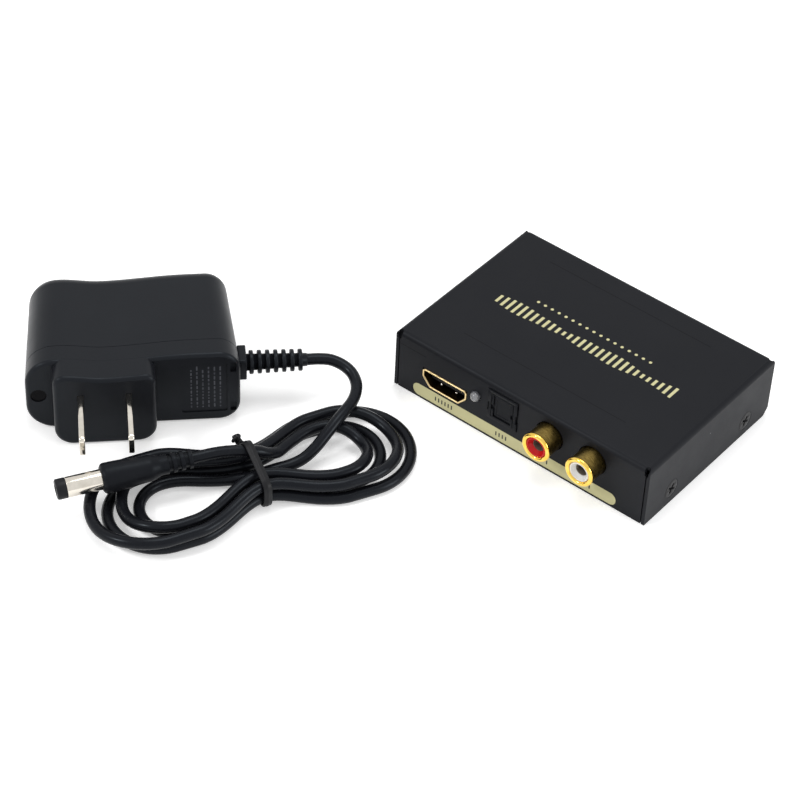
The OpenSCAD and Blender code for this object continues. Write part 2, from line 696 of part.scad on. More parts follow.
// components on the board: places are shares of the board's width and depth
module on_board(place) {
    translate([place.x * board_w, place.y * board_d, board_top]) children();
}
module centred_box(w, d, h) { translate([-w / 2, -d / 2, 0]) cube([w, d, h]); }
module video_chip() {
    chip_w = 14;
    chip_h = 1.4;
    color([0.1, 0.1, 0.1]) on_board([-0.2, 0]) difference() {
        centred_box(chip_w, chip_w, chip_h);
        translate([-chip_w / 3, chip_w / 3, chip_h * 3 / 4]) cylinder(d = chip_w / 12, h = chip_h);
    }
}
module audio_chips() {
    converter_side = 9;
    driver_w = 5;
    driver_d = 4;
    memory_d = 6.2;
    height = 1.5;
    color([0.1, 0.1, 0.1]) {
        on_board([0.05, -0.02]) centred_box(converter_side, converter_side, height);
        on_board([0.2, -0.16]) centred_box(driver_w, driver_d, height);
        on_board([-0.38, 0.1]) centred_box(driver_w, memory_d, height);
    }
}
capacitor_place_shares = [[0.38, -0.14], [0.38, 0], [-0.38, -0.1]];
module electrolytic_capacitors() {
    can_d = 6.3;
    can_h = 7.2;
    foot_t = 1;
    color(steel) for (place = capacitor_place_shares) on_board(place) union() {
        centred_box(can_d, can_d, foot_t);
        cylinder(d = can_d, h = can_h);
    }
}
module voltage_regulator() {
    body_w = 6.5;
    body_d = 3.5;
    body_h = 1.7;
    tab_d = 1.6;
    color([0.1, 0.1, 0.1]) on_board([0.2, 0.14]) union() {
        centred_box(body_w, body_d, body_h);
        translate([-body_w / 4, body_d / 2, 0]) cube([body_w / 2, tab_d, body_h / 3]);
    }
}
module power_coil() {
    coil_side = 7.3;
    coil_h = 4;
    core_d = 5.6;
    color([0.25, 0.25, 0.27]) on_board([0.26, -0.02]) union() {
        centred_box(coil_side, coil_side, coil_h * 3 / 4);
        cylinder(d = core_d, h = coil_h);
    }
}
module clock_crystal() {
    can_w = 11;
    can_d = 4.6;
    can_h = 3.4;
    color(steel) on_board([-0.02, 0.2]) union() {
        centred_box(can_w - can_d, can_d, can_h);
        for (side = [-1, 1]) translate([side * (can_w - can_d) / 2, 0, 0]) cylinder(d = can_d, h = can_h);
    }
}
resistor_columns = 6;
resistor_rows = 2;
resistor_first_share = [-0.33, -0.22];
resistor_step_share = [0.03, 0.04];
module chip_resistors() {
    chip_w = 1.6;
    color([0.15, 0.15, 0.16])
        for (column = [0 : resistor_columns - 1]) for (row = [0 : resistor_rows - 1])
            on_board([resistor_first_share.x + resistor_step_share.x * column,
                      resistor_first_share.y + resistor_step_share.y * row])
                centred_box(chip_w, chip_w / 2, chip_w / 3);
}

// the power adapter has its own frame: x along its face, y to its rear, z up
adapter_x = -83.8;
adapter_y = -88;
adapter_turn = 45.5;
module in_adapter() {
    translate([adapter_x, adapter_y, 0]) rotate([0, 0, adapter_turn]) children();
}
corner_left_r = adapter_h / 3;
corner_right_r = adapter_h / 4;
front_edge_r = 1.2;          // rounding of the edge round the front face
rear_edge_r = 5;             // rounding of the edge round the rear
dip_shares = [-0.32, -0.13, 0.27];   // start, lowest point and end of the dip, of the width
corner_steps = 6;
top_steps = 10;
function body_w(y) = adapter_w + (adapter_rear_w - adapter_w) * y / adapter_d;
function body_h(y) = adapter_h + (adapter_rear_h - adapter_h) * y / adapter_d;
function dip(x) = let (from = adapter_w * dip_shares[0], middle = adapter_w * dip_shares[1],
                       to = adapter_w * dip_shares[2])
    -dip_depth * smooth(x < middle ? (x - from) / (middle - from) : (to - x) / (to - middle));
function arc_points(cx, cz, r, from, steps) =
    [for (i = [0 : steps]) [cx + r * cos(from + 90 * i / steps), cz + r * sin(from + 90 * i / steps)]];
// one closed outline of the adapter's body at depth y, drawn in by inset; last wall raised by wall
function body_outline(y, inset) =
    let (w = body_w(y) / 2 - inset, low = inset, high = body_h(y) - inset,
         rl = max(corner_left_r - inset, front_edge_r), rr = max(corner_right_r - inset, front_edge_r))
    concat(
        arc_points(w - rr, low + rr, rr, 270, corner_steps),
        arc_points(w - rr, high - rr, rr, 0, corner_steps),
        [for (i = [1 : top_steps - 1])
            [(w - rr) + (rl - w - (w - rr)) * i / top_steps, high]],
        arc_points(rl - w, high - rl, rl, 90, corner_steps),
        arc_points(rl - w, low + rl, rl, 180, corner_steps));
function body_ring(y, inset) =
    [for (p = body_outline(y, inset)) [p.x, y, p.y + dip(p.x) * p.y / body_h(y)]];
// a closed skin through rings that follow one another along +Y
module skin(rings) {
    n = len(rings[0]);
    last = len(rings) - 1;
    points = [for (ring = rings) for (p = ring) p];
    sides = [for (k = [0 : last - 1]) for (i = [0 : n - 1])
        let (a = k * n + i, b = k * n + (i + 1) % n) each [[a, b, b + n], [a, b + n, a + n]]];
    start = [[for (i = [0 : n - 1]) n - 1 - i]];
    end = [[for (i = [0 : n - 1]) last * n + i]];
    polyhedron(points, concat(sides, start, end));
}
edge_steps = 4;
function rear_rings(from, to, inset, radius) = concat(
    [body_ring(from, inset), body_ring((from + to) / 2, inset)],
    [for (i = [0 : edge_steps]) let (turn = 90 * i / edge_steps)
        body_ring(to - radius * (1 - sin(turn)), inset + radius * (1 - cos(turn)))]);
function front_rings(from, to, inset, radius) = concat(
    [for (i = [0 : edge_steps]) let (turn = 90 * i / edge_steps)
        body_ring(from + radius * (1 - cos(turn)), inset + radius * (1 - sin(turn)))],
    [body_ring(to, inset)]);

relief_height_share = 0.52;
relief_y = adapter_seam + collar_w / 3;      // middle of the strain relief
relief_z = adapter_h * relief_height_share;
relief_neck_d = collar_w * 3 / 4;
relief_x = body_w(relief_y - collar_w / 2) / 2;
collar_t = 2.3;              // thickness of the strain relief's collar
clamp_t = 1.2;               // thickness of the strain relief's flange inside the shell
module at_relief(x) { translate([x, relief_y, relief_z]) rotate([0, 90, 0]) children(); }
module relief_hole() {
    at_relief(relief_x - 2 * adapter_wall) cylinder(r = relief_neck_d / 2 + fit, h = 3 * adapter_wall);
}

// the board of the adapter lies on four posts
adapter_board_t = 1.6;
post_h = 1.8;
adapter_board_z = adapter_wall + post_h;
adapter_board_top = adapter_board_z + adapter_board_t;
adapter_board_w = adapter_rear_w - 2 * adapter_wall - corner_right_r;
adapter_board_y = adapter_wall + adapter_seam / 2;
adapter_board_d = adapter_d - rear_edge_r - adapter_board_y - adapter_wall / 2;
post_d = 3;
post_x_share = 0.4;          // places of the posts from the board's middle and front edge
post_y_shares = [0.33, 0.83];
module at_posts() {
    both_sides() for (share = post_y_shares)
        translate([post_x_share * adapter_board_w, adapter_board_y + share * adapter_board_d, 0])
            children();
}

block_edge_r = 3;            // rounding of the plug block's long edges
block_foot_r = 5;            // the same at its foot
slot_fit = 0.05;             // gap of the blades in their slots
lens_hole_d = 4.2;           // diameter of the small dark lens in the front face
lens_place_share = -0.44;    // from the middle of the adapter's face
lens_x = adapter_w * lens_place_share;
lens_up = adapter_h / 2;
label_w = 12.3;              // bare recess on the front face
label_h = 17;
label_depth = 0.3;
shoulder_t = 1.2;            // thickness of the shoulder that stops each blade

module blade_places() {
    for (side = [-1, 1]) translate([block_x + side * blade_pitch / 2, 0, blade_z]) children();
}
module adapter_front_shell() {
    notch = 1.6;
    label_x = adapter_w / 2 - corner_right_r * 3 / 5 - label_w / 2;
    color(plastic) in_adapter() difference() {
        union() {
            skin(front_rings(0, adapter_seam - seam_gap / 2, 0, front_edge_r));
            intersection() {
                skin(front_rings(-block_d, adapter_wall, 0, front_edge_r));
                translate([block_x, adapter_wall, 0]) rotate([90, 0, 0])
                    linear_extrude(block_d + 2 * adapter_wall) block_outline();
            }
        }
        skin([body_ring(adapter_wall, adapter_wall), body_ring(adapter_seam + overrun, adapter_wall)]);
        translate([block_x, adapter_wall - block_d, 2 * adapter_wall])
            block([block_w - 2 * block_edge_r, block_d + overrun, adapter_h - 4 * adapter_wall]);
        blade_places() translate([0, -block_d - overrun, -blade_w / 2 - slot_fit])
            block([blade_t + 2 * slot_fit, block_d + 2 * overrun, blade_w + 2 * slot_fit]);
        translate([label_x, -overrun, (adapter_h - label_h) / 2])
            block([label_w, overrun + label_depth, label_h]);
        for (end = [0, 1]) translate([label_x + label_w / 2 + notch, -overrun,
                                      (adapter_h - label_h) / 2 + end * (label_h - 2 * notch)])
            block([notch, overrun + notch / 2, 2 * notch]);
        translate([lens_x, -overrun, lens_up]) along_y()
            cylinder(d = lens_hole_d + 2 * fit, h = adapter_wall + 2 * overrun);
        relief_hole();
    }
}
seam_gap = 0.15;             // width of the fine line between the two shells
module block_outline() {
    top = adapter_h + block_edge_r / 2;
    hull() for (side = [-1, 1]) {
        translate([side * (block_w / 2 - block_foot_r), block_foot_r]) circle(block_foot_r, $fn = 32);
        translate([side * (block_w / 2 - block_edge_r), top - block_edge_r])
            circle(block_edge_r, $fn = 32);
    }
}
module adapter_rear_shell() {
    color(plastic) in_adapter() union() {
        difference() {
            skin(rear_rings(adapter_seam + seam_gap / 2, adapter_d, 0, rear_edge_r));
            skin(concat([body_ring(adapter_seam - overrun, adapter_wall)],
                        rear_rings(adapter_seam + adapter_wall, adapter_d - adapter_wall,
                                   adapter_wall, rear_edge_r - adapter_wall)));
            relief_hole();
        }
        at_posts() translate([0, 0, adapter_wall / 2]) cylinder(d = post_d, h = post_h + adapter_wall / 2);
    }
}
module plug_blades() {
    inner_end = adapter_board_y + blade_w;
    hole_back = 4.6;
    tip_cut = blade_w / 5;
    tip_y = -block_d - blade_len;
    color(steel) in_adapter() blade_places() difference() {
        union() {
            translate([blade_t / 2, 0, 0]) rotate([0, -90, 0]) linear_extrude(blade_t) polygon([
                [-blade_w / 2 + tip_cut, tip_y], [blade_w / 2 - tip_cut, tip_y],
                [blade_w / 2, tip_y + tip_cut], [blade_w / 2, inner_end],
                [-blade_w / 2, inner_end], [-blade_w / 2, tip_y + tip_cut]]);
            translate([0, adapter_wall - block_d, -blade_w / 2 - shoulder_t])
                block([blade_t, shoulder_t, blade_w + 2 * shoulder_t]);
        }
        translate([-blade_t, tip_y + hole_back, 0]) rotate([0, 90, 0])
            cylinder(d = blade_w / 2, h = 2 * blade_t);
    }
}
module blade_springs() {
    strip_t = 0.5;
    strip_w = 3;
    color(gold) in_adapter() blade_places()
        translate([blade_t / 2, adapter_board_y + strip_w / 2, adapter_board_top - blade_z])
            cube([strip_t, strip_w, blade_z + blade_w / 4 - adapter_board_top]);
}
module adapter_board() {
    color([0.62, 0.5, 0.25]) in_adapter() translate([0, adapter_board_y, adapter_board_z])
        block([adapter_board_w, adapter_board_d, adapter_board_t]);
}
module on_adapter_board(share_x, share_y) {
    in_adapter() translate([share_x * adapter_board_w, adapter_board_y + share_y * adapter_board_d,
                            adapter_board_top]) children();
}
module adapter_transformer() {
    core_w = 16;
    core_d = 5;
    core_h = 12;
    bobbin_w = 13;
    bobbin_h = 10.5;
    color([0.75, 0.62, 0.1]) on_adapter_board(0.12, 0.62) union() {
        centred_box(core_w, core_d, core_h);
        centred_box(bobbin_w, bobbin_w, bobbin_h);
    }
}
adapter_capacitor_place_shares = [[-0.34, 0.5], [-0.18, 0.75], [0.4, 0.72]];
module adapter_capacitors() {
    tall_d = 8;
    tall_h = 11;
    color([0.1, 0.12, 0.2]) for (place = adapter_capacitor_place_shares)
        on_adapter_board(place.x, place.y) cylinder(d = tall_d, h = tall_h);
}
diode_place_shares = [0.1, 0.18, 0.26, 0.34];
module adapter_diodes() {
    can_d = 2.7;
    can_len = 5.2;
    color([0.1, 0.1, 0.1]) for (place = diode_place_shares)
        on_adapter_board(place, 0.16) translate([0, -can_len / 2, can_d / 2]) along_y()
            cylinder(d = can_d, h = can_len);
}
module adapter_light_lens() {
    color([0.04, 0.04, 0.05]) in_adapter() translate([lens_x, lens_sink, lens_up]) along_y()
        cylinder(d = lens_hole_d, h = adapter_wall);
}
lens_sink = 0.3;             // how far the small lens lies behind the face

// the strain relief: a square collar, a neck clamped between the shells and a ribbed tail
rib_pitch = (relief_len - collar_t) / (rib_count + 1 / 2);
module strain_relief() {
    first_rib_share = 0.465;  // of the collar's side
    last_rib_share = 0.94;   // of the lead's diameter
    big_r = collar_w * first_rib_share;
    small_r = cord_d * last_rib_share;
    core_r = cord_d / 2 + (collar_w - cord_d) / 5;
    rib_t = rib_pitch / 2;
    function rib_r(i) = big_r + (small_r - big_r) * i / (rib_count - 1);
    color(plastic) in_adapter() union() {
        translate([relief_x, relief_y - collar_w / 2, relief_z - collar_w / 2])
            cube([collar_t, collar_w, collar_w]);
        at_relief(relief_x - adapter_wall - relief_slack - clamp_t)
            cylinder(d = relief_neck_d, h = adapter_wall + relief_slack + clamp_t + collar_t / 2);
        at_relief(relief_x - adapter_wall - relief_slack - clamp_t)
            cylinder(d = collar_w + 2 * relief_slack, h = clamp_t);
        at_relief(relief_x + collar_t / 2)
            cylinder(r1 = core_r, r2 = cord_d / 2 + fit * 4, h = relief_len - collar_t / 2);
        for (i = [0 : rib_count - 1]) at_relief(relief_x + collar_t + rib_pitch * (i + 1 / 2))
            translate([0, 0, -rib_t / 4]) cylinder(r = rib_r(i), h = rib_t);
    }
}
relief_slack = 0.4;          // room for the sloping wall between collar and flange
relief_tip = relief_x + relief_len;

cord_r = cord_d / 2;
lift = 0.05;                 // height of the resting lead above the table

// the tied part: loops that spiral out in the lower layer and in again in the upper one
hank_x = 30;
hank_y = -26.3;
hank_turn = 19;
inner_len = 29.5;            // half length of the innermost loop
inner_w = 8.2;               // half width of the innermost loop's round ends
inner_waist = 1;             // half width of the innermost loop under the band
end_step = 9;                // how much each full loop grows in half length
side_step = 4.15;            // how much it grows in half width
waist_step = 4.2;            // the same under the band
layer_step = 3.9;            // height of the upper layer over the lower
tie_rise = tie_t + 0.4;      // how far the band lifts the lead off the table
tie_reach = 14;              // distance from the band at which the lead lies down again
climb_start = 1.95;          // loop count at which the lead climbs to the upper layer
climb_share = 0.2;           // share of a loop that the climb takes
rings_per_loop = 24;
hank_end_turn = 94 / 24;     // the last loop stops short of the waist, on a ring
flare = inner_len - inner_w; // stretch in which each loop widens from the waist
function smooth(s) = let (t = min(max(s, 0), 1)) t * t * (3 - 2 * t);
function hank_out(t) = t < hank_loops / 2 ? t : hank_loops - t;
function hank_point(t) =
    let (out = hank_out(t), long = inner_len + end_step * out, wide = inner_w + side_step * out,
         narrow = inner_waist + waist_step * out, straight = long - wide, rest = straight - flare,
         quarter = floor(t * 4 + 0.00001), progress = t * 4 - quarter,
         q = quarter % 2 == 0 ? progress : 1 - progress,
         past = (2 * q - 1) * (rest + wide * PI / 2),
         turn = (past - rest) / wide * 180 / PI, on_arc = turn > 0,
         a = on_arc ? straight + wide * sin(turn) : past > 0 ? flare + past : flare * 2 * q,
         b = on_arc ? wide * cos(turn) : narrow + (wide - narrow) * smooth(a / flare),
         drape = on_arc ? 1 - pow(sin(turn), 5) : 1,
         upper = smooth((t - climb_start) / climb_share),
         left = quarter % 4 == 0 || quarter % 4 == 1,
         far = quarter % 4 == 0 || quarter % 4 == 3)
    [left ? -a : a, far ? b : -b,
     cord_r + lift + upper * layer_step * drape + tie_rise * (1 - smooth(a / tie_reach))];
function turned(p) = [
    hank_x + p.x * cos(hank_turn) - p.y * sin(hank_turn),
    hank_y + p.x * sin(hank_turn) + p.y * cos(hank_turn), p.z];
hank_rings = round(hank_end_turn * rings_per_loop);
first_ring = hank_point(0);
last_ring = hank_point(hank_end_turn);
last_way = hank_point(hank_end_turn + 1 / rings_per_loop) - last_ring;
end_straight = last_way * cord_d / norm(last_way);
hank_start = turned(first_ring + [cord_d, 0, 0]);
hank_end = turned(last_ring + end_straight);
hank_points = concat([hank_start],
    [for (i = [0 : hank_rings]) turned(hank_point(i * hank_end_turn / hank_rings))], [hank_end]);

// the lead's own route, in the adapter's frame: x, y, height
run_points = [
    [relief_tip, relief_y, relief_z], [relief_tip + cord_d, relief_y, relief_z], [53.4, 8.6, 12.1],
    [56.4, 7.2, 11.4], [58.6, 4.8, 10.7], [59.6, 1.4, 10], [59.2, -2.2, 9.6], [57.8, -5.6, 9.4],
    [55.6, -8.8, 9.2], [53, -12, 8.5], [50, -15.2, 6.9], [46.8, -18.2, 5], [43.6, -20.4, 3.6],
    [40.2, -21.8, 2.95], turned(first_ring + [7, 0, 0]), hank_start];

function unit(v) = v / norm(v);
function tangent(points, i) =
    let (n = len(points) - 1) unit(points[min(i + 1, n)] - points[max(i - 1, 0)]);
function ring_round(centre, along, radius, sides) =
    let (side = unit(cross(along, [0, 0, 1])), up = cross(side, along))
    [for (k = [0 : sides - 1]) let (turn = 360 * (k + 0.5) / sides)
        centre + radius * (cos(turn) * side + sin(turn) * up)];
module tube(points, radius, sides) {
    rings = [for (i = [0 : len(points) - 1]) ring_round(points[i], tangent(points, i), radius, sides)];
    n = sides;
    last = len(rings) - 1;
    polyhedron([for (ring = rings) for (p = ring) p], concat(
        [for (k = [0 : last - 1]) for (i = [0 : n - 1])
            let (a = k * n + i, b = k * n + (i + 1) % n) each [[a, b + n, b], [a, a + n, b + n]]],
        [[for (i = [0 : n - 1]) i]], [[for (i = [0 : n - 1]) last * n + n - 1 - i]]));
}
lead_tone = [0.07, 0.07, 0.08];
module lead_run() { color(lead_tone) in_adapter() tube(run_points, cord_r, 8); }
fine = 5;                    // points between rings at which the least gap is measured
fine_points = [for (i = [0 : len(hank_points) - 2]) for (j = [0 : fine - 1])
    hank_points[i] + (hank_points[i + 1] - hank_points[i]) * j / fine];
far_apart = 3 * rings_per_loop * fine / 8;   // neighbours along the tube don't count
module lead_hank() {
    least = min([for (i = [0 : len(fine_points) - 1 - far_apart])
        min([for (j = [i + far_apart : len(fine_points) - 1]) norm(fine_points[i] - fine_points[j])])]);
    echo("least gap of the tied lead to itself", least - cord_d);
    color(lead_tone) in_adapter() tube(hank_points, cord_r, 6);
}

// the plug lies on the loops, its axis tipped a little down towards the tip
plug_back = [-15, 5.4, 11.2];
plug_turn = 7.5;
plug_tilt = 3;
module in_plug() {
    in_adapter() translate(turned(plug_back)) rotate([0, plug_tilt, hank_turn + 180 - plug_turn])
        rotate([0, 90, 0]) children();
}
function plug_axis(s) = turned(plug_back + s * [
    -cos(plug_tilt) * cos(plug_turn), cos(plug_tilt) * sin(plug_turn), -sin(plug_tilt)]);
end_points = [
    hank_end, turned(last_ring + 2 * end_straight), turned([5.4, 2.9, 7.6]), turned([2.6, 2.9, 9.2]),
    turned([-0.6, 3.4, 10.2]), turned([-4, 4.1, 10.8]), turned([-7.4, 4.6, 11.2]), plug_axis(-4.6),
    plug_axis(0)];
module lead_end() { color(lead_tone) in_adapter() tube(end_points, cord_r, 8); }

// the band round the waist of the tied lead, with its twisted ends
band_gap = 0.3;
end_waist = [3.3, 10.1];     // where the lead's end passes under the band
band_places = concat(
    [for (t = [0.5, 1, 1.5, 2, 2.5, 3, 3.5]) let (p = hank_point(t)) [p.y, p.z]], [end_waist]);
module band_outline(grow) {
    hull() for (place = band_places)
        translate([place.x, place.y]) circle(cord_r + band_gap + grow, $fn = 32);
}
knot_r = 1.1;
knot_len = 3.6;
module cord_tie() {
    knot = hank_point(hank_loops - 1);
    outward = (cord_r + band_gap + tie_t / 2) * 7 / 10;
    color(plastic) in_adapter() translate([hank_x, hank_y, 0]) rotate([0, 0, hank_turn]) union() {
        translate([-tie_w / 2, 0, 0]) rotate([90, 0, 90]) linear_extrude(tie_w) difference() {
            band_outline(tie_t);
            band_outline(0);
        }
        translate([0, knot.y + outward, knot.z + outward]) rotate([-50, 0, 35])
            cylinder(r = knot_r, h = knot_len);
    }
}

// the plug: s runs from the neck's end to the tip
neck_len_share = 0.36;       // of the grip's length
neck_r_share = 0.32;         // of the grip's diameter
grip_back_r_share = 0.43;    // of the grip's diameter
neck_len = grip_len * neck_len_share;
neck_r = grip_d * neck_r_share;
groove = neck_len / 8;
barrel_root = grip_len - grip_len / 10;
insulator_len_share = 0.2275;
insulator_len = plug_len * insulator_len_share;
contact_wall = 0.3;          // wall of the plug's barrel and of its inner contact
contact_r = plug_hole_d / 2 + contact_wall;
module plug_turned() { in_plug() rotate_extrude($fn = 48) children(); }
module plug_grip() {
    front_r = grip_d / 2;
    back_r = grip_d * grip_back_r_share;
    round_r = grip_d / 10;
    color(plastic) plug_turned() difference() {
        polygon(concat(
            [[0, 0], [neck_r - groove / 2, 0], [neck_r, groove / 2]],
            [for (i = [1 : 3]) each [
                [neck_r, 2 * i * groove - groove], [neck_r - groove / 2, 2 * i * groove - groove],
                [neck_r - groove / 2, 2 * i * groove], [neck_r, 2 * i * groove]]],
            [[neck_r, neck_len], [back_r - round_r, neck_len + round_r * 2],
             [back_r, neck_len + round_r * 4], [front_r, grip_len - 2 * round_r],
             [front_r - round_r / 3, grip_len - round_r / 2],
             [front_r - round_r, grip_len], [0, grip_len]]));
        translate([0, barrel_root]) square([plug_d / 2 + fit, grip_len]);
        translate([0, barrel_root - plug_d / 2]) square([contact_r + fit, grip_len]);
    }
}
module plug_barrel() {
    color(steel) plug_turned() difference() {
        translate([0, barrel_root + fit])
            square([plug_d / 2, grip_len + plug_len - insulator_len - barrel_root - fit]);
        translate([0, barrel_root - overrun]) square([plug_d / 2 - contact_wall, grip_len + plug_len]);
    }
}
module plug_insulator() {
    tip = grip_len + plug_len;
    edge = contact_wall;
    color(plastic) plug_turned() polygon([
        [contact_r + fit, barrel_root + fit], [plug_d / 2 - contact_wall - fit, barrel_root + fit],
        [plug_d / 2 - contact_wall - fit, tip - insulator_len], [plug_d / 2, tip - insulator_len],
        [plug_d / 2, tip - edge], [plug_d / 2 - edge, tip], [contact_r + fit, tip]]);
}
module plug_contact() {
    color(gold) plug_turned() translate([contact_r - contact_wall, barrel_root - plug_d / 2 + fit])
        square([contact_wall, grip_len + plug_len - barrel_root + plug_d / 2 - 2 * contact_wall]);
}

top_cover();
bottom_plate();
cover_screws();
circuit_board();
board_spacers();
board_screws();
video_out_shell();
video_out_tongue();
video_out_contacts();
video_in_shell();
video_in_tongue();
video_in_contacts();
status_light();
light_leads();
optical_socket();
optical_shutter();
shutter_pin();
shutter_spring();
optical_emitter();
audio_socket_block();
red_socket_barrel();
red_socket_insulator();
red_socket_contact();
white_socket_barrel();
white_socket_insulator();
white_socket_contact();
power_socket();
power_socket_pin();
power_socket_spring();
mode_switch_frame();
mode_switch_knob();
video_chip();
audio_chips();
electrolytic_capacitors();
voltage_regulator();
power_coil();
clock_crystal();
chip_resistors();
adapter_front_shell();
adapter_rear_shell();
plug_blades();
blade_springs();
adapter_board();
adapter_transformer();
adapter_capacitors();
adapter_diodes();
adapter_light_lens();
strain_relief();
lead_run();
lead_hank();
lead_end();
cord_tie();
plug_grip();
plug_barrel();
plug_insulator();
plug_contact();
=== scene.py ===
import math
import random
import bmesh
import bpy
from mathutils import Matrix, Vector


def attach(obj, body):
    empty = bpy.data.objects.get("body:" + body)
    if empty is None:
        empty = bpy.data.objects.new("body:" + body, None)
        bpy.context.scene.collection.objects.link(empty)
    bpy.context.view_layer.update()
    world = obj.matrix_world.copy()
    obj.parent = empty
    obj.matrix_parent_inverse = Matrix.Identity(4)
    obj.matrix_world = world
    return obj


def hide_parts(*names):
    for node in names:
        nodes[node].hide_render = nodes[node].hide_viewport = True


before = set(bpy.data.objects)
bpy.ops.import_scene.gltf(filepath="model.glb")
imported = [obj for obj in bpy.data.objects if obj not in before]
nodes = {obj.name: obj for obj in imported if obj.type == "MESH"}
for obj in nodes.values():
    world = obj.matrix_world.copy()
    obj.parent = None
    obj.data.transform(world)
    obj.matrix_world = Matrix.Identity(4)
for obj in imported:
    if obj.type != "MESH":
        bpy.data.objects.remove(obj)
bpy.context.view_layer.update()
mm = 0.001
print("scene: frame loaded,", len(nodes), "nodes")


# camera, fitted to the corners of the enclosure
cameraLook = {
    "eye": (301.65, -478.55, 511.61),
    "right": (0.77526, 0.63059, 0.03646),
    "up": (-0.44720, 0.50721, 0.73672),
    "back": (0.44608, -0.58745, 0.67522),
    "lens": 125.2,
    "sensor": 36.0,
}


def placeCamera(look):
    data = bpy.data.cameras.new("camera")
    data.lens = look["lens"]
    data.sensor_width = look["sensor"]
    data.clip_start = 0.05
    data.clip_end = 20
    camera = bpy.data.objects.new("camera", data)
    bpy.context.scene.collection.objects.link(camera)
    turn = Matrix((look["right"], look["up"], look["back"])).transposed().to_4x4()
    camera.matrix_world = Matrix.Translation(Vector(look["eye"]) * mm) @ turn
    bpy.context.scene.camera = camera


placeCamera(cameraLook)


# shader effects shared by several finishes
def addNode(tree, kind, values=None, **settings):
    node = tree.nodes.new(kind)
    for key, value in settings.items():
        setattr(node, key, value)
    for key, value in (values or {}).items():
        node.inputs[key].default_value = value
    return node


def newShaderGroup(name, inputs, outputs):
    group = bpy.data.node_groups.new(name, "ShaderNodeTree")
    for label, kind, value in inputs:
        group.interface.new_socket(label, in_out="INPUT", socket_type=kind).default_value = value
    for label, kind in outputs:
        group.interface.new_socket(label, in_out="OUTPUT", socket_type=kind)
    return group, group.nodes.new("NodeGroupInput"), group.nodes.new("NodeGroupOutput")


def buildToneDrift():
    group, source, sink = newShaderGroup(
        "toneDrift",
        [("Colour", "NodeSocketColor", (1, 1, 1, 1)), ("Second", "NodeSocketColor", (1, 1, 1, 1)),
         ("Patch", "NodeSocketFloat", 0.01), ("Stretch", "NodeSocketVector", (1, 1, 1))],
        [("Colour", "NodeSocketColor")])
    link = group.links.new
    place = addNode(group, "ShaderNodeTexCoord")
    scale = addNode(group, "ShaderNodeVectorMath", operation="DIVIDE")
    pull = addNode(group, "ShaderNodeVectorMath", operation="MULTIPLY")
    noise = addNode(group, "ShaderNodeTexNoise", {"Scale": 1.0, "Detail": 4.0, "Roughness": 0.6})
    spread = addNode(group, "ShaderNodeMapRange", {"From Min": 0.3, "From Max": 0.7})
    mix = addNode(group, "ShaderNodeMix", data_type="RGBA")
    link(place.outputs["Object"], scale.inputs[0])
    link(source.outputs["Patch"], scale.inputs[1])
    link(scale.outputs[0], pull.inputs[0])
    link(source.outputs["Stretch"], pull.inputs[1])
    link(pull.outputs[0], noise.inputs["Vector"])
    link(noise.outputs["Fac"], spread.inputs["Value"])
    link(spread.outputs[0], mix.inputs["Factor"])
    link(source.outputs["Colour"], mix.inputs["A"])
    link(source.outputs["Second"], mix.inputs["B"])
    link(mix.outputs["Result"], sink.inputs["Colour"])
    return group


def buildRoughDrift():
    group, source, sink = newShaderGroup(
        "roughDrift",
        [("Low", "NodeSocketFloat", 0.4), ("High", "NodeSocketFloat", 0.5),
         ("Patch", "NodeSocketFloat", 0.01), ("Stretch", "NodeSocketVector", (1, 1, 1))],
        [("Value", "NodeSocketFloat")])
    link = group.links.new
    place = addNode(group, "ShaderNodeTexCoord")
    scale = addNode(group, "ShaderNodeVectorMath", operation="DIVIDE")
    pull = addNode(group, "ShaderNodeVectorMath", operation="MULTIPLY")
    noise = addNode(group, "ShaderNodeTexNoise", {"Scale": 1.0, "Detail": 5.0, "Roughness": 0.65})
    spread = addNode(group, "ShaderNodeMapRange", {"From Min": 0.3, "From Max": 0.7})
    link(place.outputs["Object"], scale.inputs[0])
    link(source.outputs["Patch"], scale.inputs[1])
    link(scale.outputs[0], pull.inputs[0])
    link(source.outputs["Stretch"], pull.inputs[1])
    link(pull.outputs[0], noise.inputs["Vector"])
    link(noise.outputs["Fac"], spread.inputs["Value"])
    link(source.outputs["Low"], spread.inputs["To Min"])
    link(source.outputs["High"], spread.inputs["To Max"])
    link(spread.outputs[0], sink.inputs["Value"])
    return group


def buildFineGrain():
    group, source, sink = newShaderGroup(
        "fineGrain",
        [("Grain", "NodeSocketFloat", 0.0004), ("Stretch", "NodeSocketVector", (1, 1, 1))],
        [("Height", "NodeSocketFloat")])
    link = group.links.new
    place = addNode(group, "ShaderNodeTexCoord")
    scale = addNode(group, "ShaderNodeVectorMath", operation="DIVIDE")
    pull = addNode(group, "ShaderNodeVectorMath", operation="MULTIPLY")
    coarse = addNode(group, "ShaderNodeTexNoise", {"Scale": 0.35, "Detail": 1.0})
    fine = addNode(group, "ShaderNodeTexNoise", {"Scale": 1.0, "Detail": 2.0})
    blend = addNode(group, "ShaderNodeMath", {1: 0.5}, operation="MULTIPLY_ADD")
    link(place.outputs["Object"], scale.inputs[0])
    link(source.outputs["Grain"], scale.inputs[1])
    link(scale.outputs[0], pull.inputs[0])
    link(source.outputs["Stretch"], pull.inputs[1])
    link(pull.outputs[0], coarse.inputs["Vector"])
    link(pull.outputs[0], fine.inputs["Vector"])
    link(coarse.outputs["Fac"], blend.inputs[0])
    link(fine.outputs["Fac"], blend.inputs[2])
    link(blend.outputs[0], sink.inputs["Height"])
    return group


